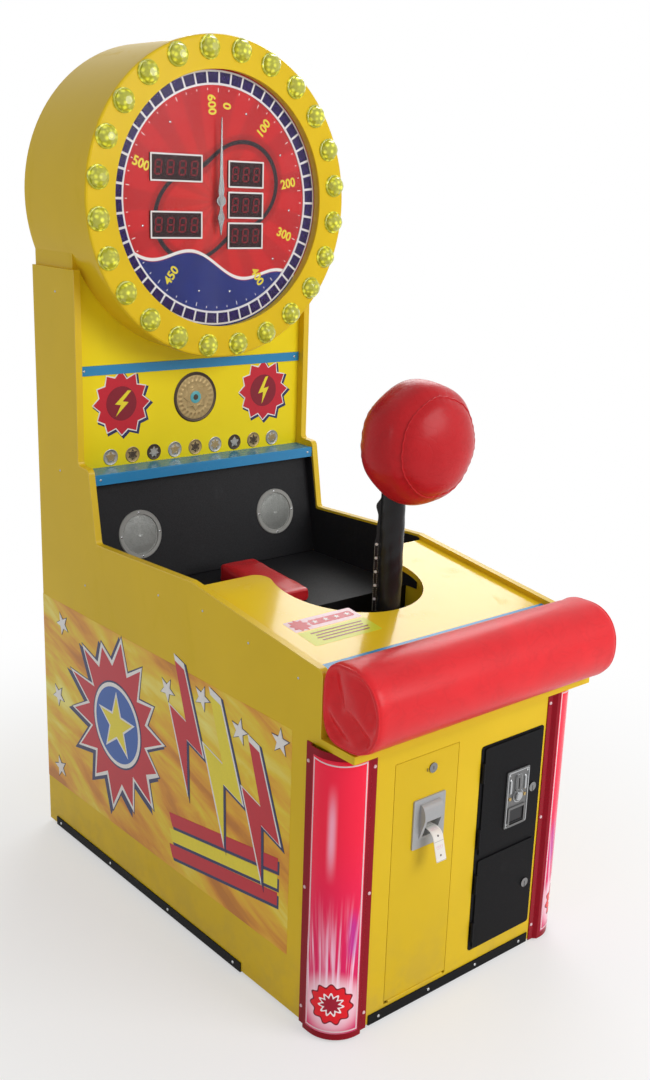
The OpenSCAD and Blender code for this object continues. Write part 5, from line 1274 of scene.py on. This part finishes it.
class MACHINE_OT_digits(Operator):
    """Put the seven-segment digits into the five displays"""
    bl_idname = "machine.digits"
    bl_label = "Display digits"

    def execute(self, context):
        shape = Shape()
        rim, face_y, tall = 6, DIAL_Y - 3.4, 38
        # Each display's middle from the dial's middle, its width and its number of digits
        displays = [(-128, z, 156, 4) for z in (78, -62)] + [(88, z, 114, 3) for z in (68, -10, -88)]
        for x, z, width, digits in displays:
            pitch = (width - 2 * rim) / digits
            for i in range(digits):
                middle = x + (i - (digits - 1) / 2) * pitch
                self.digit(shape, on_front(middle, DIAL_Z + z, face_y), pitch * 0.5, tall)
        make("display_digits", shape, ["digit red"])
        return {"FINISHED"}

    def digit(self, shape, place, width, height, bar=4.0, lean=0.1):
        """Seven bars with pointed ends; the figure leans."""
        pointed = np.array([(-1, 0), (-0.8, -1), (0.8, -1), (1, 0), (0.8, 1), (-0.8, 1)])
        bars = [pointed * (width / 2 - bar * 0.4, bar / 2) + (0, level * (height - bar) / 2)
                for level in (-1, 0, 1)]
        upright = pointed[:, ::-1] * (bar / 2, height / 4 - bar * 0.5)
        bars += [upright + (side * width / 2, half * (height - bar) / 4)
                 for side in (-1, 1) for half in (-1, 1)]
        for line in bars:
            plate(shape, place, line + line[:, 1:] * (lean, 0), 0, 0.5)


class MACHINE_OT_dial_marks(Operator):
    """Put the numbers, ticks and small screws on the dial"""
    bl_idname = "machine.dial_marks"
    bl_label = "Dial marks"

    def execute(self, context):
        ticks = Shape()
        count, outer, half_width, marks_r, outer_marks_r = 52, 276, 0.9, 236.0, 245.0
        for i in range(count):
            a = math.radians(i * 360 / count)
            inner = 266 if i % 4 == 0 else 271
            along = np.array([math.sin(a), math.cos(a)])
            aside = np.array([along[1], -along[0]]) * half_width
            line = [along * inner - aside, along * inner + aside,
                    along * outer + aside, along * outer - aside]
            plate(ticks, on_front(0, DIAL_Z, DIAL_Y), line, -0.05, 0.3)
        make("dial_ticks", ticks, ["white ink"])
        # Each number's angle clockwise from the top, in degrees
        marks = {"0": 7, "100": 38, "200": 78, "300": 111, "400": 146, "450": -143, "500": -70, "600": -5}
        work = bmesh.new()
        for word, angle in marks.items():
            radius = outer_marks_r if word == "500" else marks_r
            mesh = self.number(word, angle, context.scene.machine_prints.number, radius)
            work.from_mesh(mesh)
            bpy.data.meshes.remove(mesh)
        bmesh.ops.remove_doubles(work, verts=work.verts, dist=1e-6)
        joined = bpy.data.meshes.new("dial_numbers")
        work.to_mesh(joined)
        work.free()
        joined.materials.append(finish("yellow ink"))
        link("dial_numbers", joined, "cabinet")
        spots = round_points(marks_r, np.radians((68, 31, -5, -39, -80, 256, 196, 128)))
        screw_heads("dial_screws", [on_front(x, DIAL_Z + z, DIAL_Y) for x, z in spots], 3.2)
        return {"FINISHED"}

    def number(self, word, angle, size, radius):
        """A number along a radius of the dial; on the left half it reads inwards."""
        curve = bpy.data.curves.new("number", "FONT")
        curve.body = word
        curve.size = size
        curve.extrude = 0.0003
        curve.offset = 0.0009
        curve.align_x = "CENTER"
        curve.align_y = "CENTER"
        curve.resolution_u = 4
        holder = add_object("number", curve)
        bpy.context.view_layer.update()
        mesh = bpy.data.meshes.new_from_object(holder)
        bpy.data.objects.remove(holder)
        bpy.data.curves.remove(curve)
        a = math.radians(angle)
        lean = math.copysign(math.pi / 2, angle) - a
        spot = to_scene(np.array([radius * math.sin(a), DIAL_Y - 0.3, DIAL_Z + radius * math.cos(a)]))
        stand = Matrix.Rotation(-lean, 4, "Y") @ Matrix.Rotation(math.pi / 2, 4, "X")
        mesh.transform(Matrix.Translation(spot.tolist()) @ stand)
        return mesh


class MACHINE_OT_side_prints(Operator):
    """Lay the generic prints on both sides: a flame field with bursts, bolts, stripes and stars"""
    bl_idname = "machine.side_prints"
    bl_label = "Side prints"

    def execute(self, context):
        prints = context.scene.machine_prints
        inks = ["flame film", "navy ink", "white ink", "red ink", "blue ink", "yellow ink"]
        for side, name in SIDES:
            shape = Shape()
            for line, level, mark in self.layers(prints):
                line = np.asarray(line, float) * (side, 1)
                plate(shape, on_side(side, 0, 0), line[::side], -0.05, prints.film * MM * level, mark)
            make("side_print_" + name, shape, inks, sharp=20)
        return {"FINISHED"}

    def layers(self, prints):
        """The print's flat shapes as (outline in y and z, layer, ink), from the lowest layer up."""
        front, back, low, high = 165, BACK_Y - 4, 150, 712
        big, shade = np.array((905, 452)), (12, -10)
        layers = [([(front, low), (back, low), (back, high), (front, high)], 1, 0)]
        for outer, inner, centre, layer, tone in ((250, 172, big + shade, 1.6, 1), (246, 170, big, 2, 1),
                                                  (240, 164, big, 3, 2), (224, 150, big, 4, 3)):
            layers.append((star_line(14, outer, inner, centre, 96, 0.22, prints.seed), layer, tone))
        layers += [(circle_line(122, 48, big), 5, 1), (circle_line(117, 48, big), 6, 2),
                   (circle_line(106, 48, big), 7, 4), (star_line(5, 96, 39, big), 8, 2),
                   (star_line(5, 82, 32, big), 9, 5)]
        for i, (foot, mark) in enumerate(((182, 3), (226, 5), (270, 3))):
            ribbon = np.array([(205, foot + 76), (640, foot), (654, foot + 34), (205, foot + 110)])
            layers += [(ribbon + (-6, -7), 2 + i * 0.3, 1), (ribbon, 2.15 + i * 0.3, mark)]
        for y, z, tall, mark in ((575, 555, 300, 3), (420, 500, 330, 5), (270, 455, 300, 3)):
            outlined = ((1.14, (y - 9, z - 8), 3.6, 1), (1.1, (y, z), 4, 2), (1, (y, z), 5, mark))
            for grown, spot, layer, tone in outlined:
                layers.append((bolt_line(tall * grown, spot, 16), layer, tone))
        for i in range(prints.stars):
            spot = (1225 - 34 * (i % 2), 205 + 224 * (i % 3))
            if i < 4:
                spot = (205 + i * 152, 668 - 30 * (i % 2))
            for reach, layer, tone in ((36, 2, 1), (31, 6, 2)):
                layers.append((star_line(5, reach, reach * 0.42, spot, 90 + 9 * i), layer, tone))
        return layers


class MACHINE_OT_cover_prints(Operator):
    """Lay the glowing film and its pale outline on both corner covers"""
    bl_idname = "machine.cover_prints"
    bl_label = "Corner cover prints"

    def execute(self, context):
        film = context.scene.machine_prints.film * MM
        low, high = corners("corner_cover_left")
        inset, lap, start, end = 22, 6, 10, 136
        foot, top = low[2] + inset, high[2] - inset
        u = np.linspace(start - 4, end + 4, 34)[:, None]
        v = np.linspace(foot - lap, top + lap, 40)[None]
        # The outline runs along the foot, up, back along the top, which dips by 5 mm, and down
        run, tall = np.linspace(start, end, 22), np.linspace(foot, top, 24)
        dip = 5 * np.sin(np.linspace(0, np.pi, 22))
        line = np.concatenate([np.stack([run, foot + 0 * run], -1), np.stack([end + 0 * tall, tall], -1)[1:],
                               np.stack([run, top - dip], -1)[::-1][1:],
                               np.stack([start + 0 * tall, tall], -1)[::-1][1:-1]])
        for side, name in SIDES:
            place = on_cover(side)
            along = u[::-side]
            open_sheet("cover_film_" + name, place(along, v, 0.1), along, v, "glow film", film,
                       "cabinet", finer=False)
            shape = Shape()
            band(shape, place, line, 0, 0.6, 3.4)
            make("cover_outline_" + name, shape, ["pink ink"], sharp=20)
        return {"FINISHED"}


class MACHINE_OT_upper_emblems(Operator):
    """Put the two bursts, the medallion and the small discs on the upper panel"""
    bl_idname = "machine.upper_emblems"
    bl_label = "Upper panel emblems"

    def execute(self, context):
        prints = context.scene.machine_prints
        film = prints.film * MM
        inks = ["navy ink", "white ink", "red ink", "dark red ink", "yellow ink"]
        bursts = [star_line(12, outer, inner, centre, 90, 0.08, prints.seed)
                  for outer, inner, centre in ((92, 74, (5, -5)), (89, 72, (0, 0)), (85, 68, (0, 0)))]
        for side, name in SIDES:
            shape = Shape()
            lines = bursts + [circle_line(46, 40), bolt_line(74, (0, 0), side * 10)]
            for layer, line in enumerate(lines):
                plate(shape, on_front(side * 235, 1270, UPPER_Y), line, -0.05, film * (layer + 1), layer)
            make("upper_burst_" + name, shape, inks, sharp=20)
        self.medallion()
        self.discs(prints.discs)
        return {"FINISHED"}

    def medallion(self):
        """A turned plaque: a dark rim, a ring of teeth, a star and a blue-green middle."""
        shape = Shape()
        place = on_front(0, 1269, UPPER_Y)

        def toothed(a, r, h):
            return r, h + 0.8 * (np.abs(r - 51) < 5.5) * (np.sin(24 * a) > 0)

        turned(shape, place, [(0, -0.1), (70, -0.1), (70, 1.2), (67, 2.6), (64, 1.6), (61, 1.4)], 96, 1)
        turned(shape, place, [(61, 1.4), (58, 1.8), (56, 1.4), (46, 1.4), (45, 2.0), (42, 1.4), (26, 1.6),
                              (24, 2.4), (21, 1.6), (15, 1.6)], 96, 0, toothed)
        plate(shape, place, star_line(8, 40, 28), 1.3, 2.2, 0, 0.06)
        turned(shape, place, [(0, 1.5), (17, 1.5), (17, 2.8), (15.5, 3.4), (0, 3.4)], 64, 2)
        turned(shape, place, [(0, 3.2), (8, 3.2), (7.4, 4.2), (0, 4.4)], 40, 1)
        make("upper_medallion", shape, ["bronze", "dark bronze", "cyan ink"], sharp=30)

    def discs(self, count):
        """Small milled discs in three metals, each with a star."""
        shape = Shape()

        def milled(a, r, h):
            return r * (1 + 0.03 * np.sin(22 * a) * (r > 20)), h

        pitch, z = 67.5, 1128
        profile = [(0, -0.1), (22, -0.1), (22, 0.8), (20.5, 1.6), (18.5, 1.0), (10, 1.0), (8.5, 1.6),
                   (7, 1.1), (0, 1.2)]
        for i in range(count):
            place = on_front((i - (count - 1) / 2) * pitch, z, UPPER_Y)
            metal = (0, 1, 2, 0, 1, 0, 2, 1, 0)[i % 9]
            turned(shape, place, profile, 44, metal, milled)
            plate(shape, place, star_line(5 + i % 3, 16.5, 10), 0.9, 1.5, (metal + 1) % 3, 0.08)
        make("upper_discs", shape, ["silver", "bronze", "dark bronze"], sharp=30)


class MACHINE_OT_deck_sticker(Operator):
    """Lay the generic sticker on the deck's left"""
    bl_idname = "machine.deck_sticker"
    bl_label = "Deck sticker"

    def execute(self, context):
        film = context.scene.machine_prints.film * MM
        place = on_deck(-205, 172)
        parts = [(round_box(196, 50, 4, (0, 40)), 1, 1), (star_line(9, 27, 18, (-68, 40)), 3, 2),
                 (round_box(126, 24, 6, (24, 40)), 2, 2), (round_box(196, 66, 4, (0, -24)), 1, 3)]
        parts += [(round_box(150 - 12 * (i % 2), 4.5, 1.2, (4, -4 - 12 * i), 3), 2, 4) for i in range(4)]
        parts += [(star_line(5, 9, 3.8, (-24 + 32 * i, 40)), 3, 0) for i in range(4)]
        shape = Shape()
        for line, layer, mark in parts:
            plate(shape, place, line, -0.05, film * layer, mark)
        inks = ["white ink", "pink ink", "red ink", "lime ink", "dark red ink"]
        make("deck_sticker", shape, inks, sharp=20)
        return {"FINISHED"}


class MACHINE_OT_coin_details(Operator):
    """Add the coin entry's raised frames, its small screws and, on each of the four locks, a dark plate of
    painted shade for its key slot
    """
    bl_idname = "machine.coin_details"
    bl_label = "Coin unit details"

    def execute(self, context):
        # The middle of the coin entry's face on the upper door
        x, z, y = 182.0, 446.56, -8.5
        place = on_front(x, z, y)
        shape = Shape()
        band(shape, place, round_box(72, 142, 5), -0.1, 1.4, 2.6)
        band(shape, place, round_box(18, 40, 6, (0, 41)), -0.1, 3.2, 3.4)
        band(shape, place, circle_line(15.5, 40, (0, 6)), -0.1, 3.4, 3.4)
        band(shape, place, round_box(58, 48, 4, (0, -47)), -0.1, 2.2, 2.6, 1)
        for side in (-1, 1):
            plate(shape, place, round_box(7, 40, 3, (side * 26, 34)), -0.1, 2.4, 0, 0.12)
            plate(shape, place, round_box(9, 9, 3, (side * 26, 2)), -0.1, 1.8, 1, 0.12)
        make("coin_entry_frames", shape, ["chrome", "brass"], "upper_door", sharp=30)
        heads = [on_front(x + a * 31, z + b * 65, y) for a in (-1, 1) for b in (-1, 1)]
        screw_heads("coin_entry_screws", heads, 3.0, body="upper_door")
        for node, body in (("upper_lock", "upper_door_lock"), ("lower_lock", "lower_door_lock"),
                           ("ticket_lock", "ticket_door_lock"), ("rear_lock", "service_door_lock")):
            low, high = corners(node)
            spot = (low + high) / 2
            rear = node == "rear_lock"
            spot[1] = high[1] if rear else low[1]
            face = plane(spot, (-1 if rear else 1, 0, 0), (0, 0, 1))
            shape = Shape()
            # A thin dark plate on the lock's face is painted shade for the key slot.
            plate(shape, face, round_box(2.2, 9, 1, n=4), -0.2, 0.12)
            make(node + "_key_slot", shape, ["black plastic"], body)
        return {"FINISHED"}


class MACHINE_OT_screws(Operator):
    """Put the screws on the covers, trims, rails, speakers, sides and back"""
    bl_idname = "machine.screws"
    bl_label = "Screws"

    def execute(self, context):
        low, high = corners("corner_cover_left")
        inset, flange_x, flange_y, flange = 44, 286.5, 104.5, 2.5
        heights = [low[2] + inset, (low[2] + high[2]) / 2, high[2] - inset]
        covers = [on_side(side, flange_y, z, SIDE_X + flange) for side in (-1, 1) for z in heights]
        covers += [on_front(side * flange_x, z, -flange) for side in (-1, 1) for z in heights]
        screw_heads("cover_screws", covers, 4.2, "pink ink")
        rail_z, rail = 20, 3
        rails = [on_side(side, y, rail_z, SIDE_X + rail) for side in (-1, 1) for y in (370, 660, 950, 1230)]
        rails += [on_front(x, rail_z, corners("base_rails")[0][1]) for x in (-240, -80, 80, 240)]
        screw_heads("rail_screws", rails, 4.0)
        spots = [(150, 838), (330, 862), (510, 886), (700, 872), (1180, 1090), (1180, 1560), (1060, 800)]
        sides = [on_side(side, y, z) for side in (-1, 1) for y, z in spots]
        screw_heads("side_screws", sides, 3.0, "steel")
        # On the strip across the upper panel's top, and on the nose of the shelf
        trims = [on_front(side * 345, z, y) for side in (-1, 1)
                 for z, y in ((1362, UPPER_Y - 3), (1089, UPPER_Y - 77))]
        screw_heads("trim_screws", trims, 3.4)
        lean = (0, math.sin(BOARD_LEAN), math.cos(BOARD_LEAN))
        ring_r, ring = 59.5, 2.6
        speakers = []
        for side in (-1, 1):
            place = on_board(side * SPEAKER_X, SPEAKER_UP)
            for u, v in circle_line(ring_r, 4):
                speakers.append(plane(place(u, v, ring), (1, 0, 0), lean))
        screw_heads("speaker_screws", speakers, 3.4)
        back = [on_back(x, z) for x in (-340, 340) for z in (120, 480, 840, 1200, 1560)]
        back += [on_back(x, 1585) for x in (-120, 120)]
        screw_heads("back_screws", back, 3.6, "steel")
        return {"FINISHED"}


class MACHINE_OT_stage(Operator):
    """Set the camera, the soft lights, the pale floor and the white background"""
    bl_idname = "machine.stage"
    bl_label = "Stage"

    def execute(self, context):
        setting, scene = context.scene.machine_stage, context.scene
        self.camera(setting, scene)
        self.floor()
        self.world(setting, scene)
        # The third lamp is a small and faint one on the left
        self.lamp("key_lamp", (1.6, -4.4, 3.2), (0, 0, 1.1), 2.8, setting.key)
        self.lamp("back_lamp", (2.6, 2.6, 3.6), (0, -0.2, 0.9), 2.6, setting.back)
        self.lamp("left_lamp", (-3.8, -1.2, 2.1), (0, -0.3, 1.2), 0.6, setting.back * 0.1)
        scene.view_settings.view_transform = "Standard"
        return {"FINISHED"}

    def camera(self, setting, scene):
        """The view turns by yaw and pitch from the y axis, then rolls about its own axis."""
        cy, sy = math.cos(setting.yaw), math.sin(setting.yaw)
        cp, sp = math.cos(setting.pitch), math.sin(setting.pitch)
        cr, sr = math.cos(setting.roll), math.sin(setting.roll)
        forward = np.array([sy * cp, cy * cp, sp])
        right = np.array([cy, -sy, 0.0])
        up = np.cross(right, forward)
        axes = np.stack([cr * right + sr * up, cr * up - sr * right, -forward], -1)
        eye = (-1.9405, -2.3675, 1.852)
        camera = add_object("camera", bpy.data.cameras.new("camera"))
        camera.matrix_world = Matrix.Translation(eye) @ Matrix(axes.tolist()).to_4x4()
        camera.data.lens = setting.focal
        camera.data.sensor_width = 36.0
        camera.data.shift_x = -0.0314
        camera.data.shift_y = 0.0092
        scene.camera = camera

    def seen_white(self, tree):
        """1 for the rays from the camera, off gloss and through glass, which see a white background."""
        path = tree.nodes.new("ShaderNodeLightPath")
        camera, gloss, glass = [Value(tree, path.outputs["Is " + kind + " Ray"])
                                for kind in ("Camera", "Glossy", "Transmission")]
        return (camera + gloss + glass).least(1.0)

    def floor(self):
        """A pale floor that keeps the machine's shadow and fades to the white background."""
        half, fade_from, fade_to = 30, 600.0, 2200.0
        mesh = bpy.data.meshes.new("floor")
        mesh.from_pydata([(-half, -half, 0), (half, -half, 0), (half, half, 0), (-half, half, 0)], [],
                         [(0, 1, 2, 3)])
        f = Finish("Floor", roughness=0.7, specular_ior_level=0.1)
        f.set(base_color=f.mix(f.noise(0.6, 3.0), (0.90, 0.90, 0.90), (0.94, 0.94, 0.94)))
        reach = (f.x * f.x + f.y * f.y).root()
        share = self.seen_white(f.tree) * (reach.step(fade_from, fade_to) * 0.5 + 0.5)
        glow = f.node("ShaderNodeEmission", {}, {"Color": (1, 1, 1, 1), "Strength": 1.0})
        f.show_mixed(share, f.plain, glow)
        mesh.materials.append(f.material)
        floor = add_object("floor", mesh)

    def world(self, setting, scene):
        """Rays from the camera, off gloss and through glass see white; all others see the soft sky."""
        world = bpy.data.worlds.new("studio")
        world.use_nodes = True
        scene.world = world
        tree = world.node_tree
        sky = next(node for node in tree.nodes if node.type == "BACKGROUND")
        strength = self.seen_white(tree) * (1.0 - setting.sky) + setting.sky
        sky.inputs[0].default_value = (1, 1, 1, 1)
        tree.links.new(strength.socket, sky.inputs[1])

    def lamp(self, name, place, target, size, watts):
        """A square soft lamp at a place that looks at a target."""
        light = bpy.data.lights.new(name, "AREA")
        light.shape = "SQUARE"
        light.size = size
        light.energy = watts
        lamp = add_object(name, light)
        away = np.array(place, float) - target
        away /= np.linalg.norm(away)
        right = np.cross((0, 0, 1), away)
        right /= np.linalg.norm(right)
        axes = np.stack([right, np.cross(away, right), away], -1)
        lamp.matrix_world = Matrix.Translation(place) @ Matrix(axes.tolist()).to_4x4()


STEPS = (MACHINE_OT_stage, MACHINE_OT_finish_frame, MACHINE_OT_cushion, MACHINE_OT_stop_pad, MACHINE_OT_bag,
         MACHINE_OT_sleeve, MACHINE_OT_ticket, MACHINE_OT_lamps, MACHINE_OT_digits, MACHINE_OT_dial_marks,
         MACHINE_OT_side_prints, MACHINE_OT_cover_prints, MACHINE_OT_upper_emblems, MACHINE_OT_deck_sticker,
         MACHINE_OT_coin_details, MACHINE_OT_screws)
GROUPS = {"machine_colours": MachineColours, "machine_pads": MachinePads, "machine_prints": MachinePrints,
          "machine_stage": MachineStage}


class MACHINE_PT_panel(Panel):
    """Lists the machine's sizes and colours, and the steps that dress it"""
    bl_idname = "MACHINE_PT_panel"
    bl_label = "Boxing machine"
    bl_space_type = "VIEW_3D"
    bl_region_type = "UI"
    bl_category = "Boxing machine"

    def draw(self, context):
        for name, group in GROUPS.items():
            box = self.layout.box()
            box.label(text=group.__doc__)
            for field in group.__annotations__:
                box.prop(getattr(context.scene, name), field)
        for step in STEPS:
            self.layout.operator(step.bl_idname)


def register():
    for each in (*GROUPS.values(), *STEPS, MACHINE_PT_panel):
        bpy.utils.register_class(each)
    for name, group in GROUPS.items():
        setattr(bpy.types.Scene, name, PointerProperty(type=group))


def unregister():
    for name in GROUPS:
        delattr(bpy.types.Scene, name)
    for each in reversed((*GROUPS.values(), *STEPS, MACHINE_PT_panel)):
        bpy.utils.unregister_class(each)


def main():
    register()
    for step in STEPS:
        group, name = step.bl_idname.split(".")
        getattr(getattr(bpy.ops, group), name)()


if __name__ == "__main__":
    main()
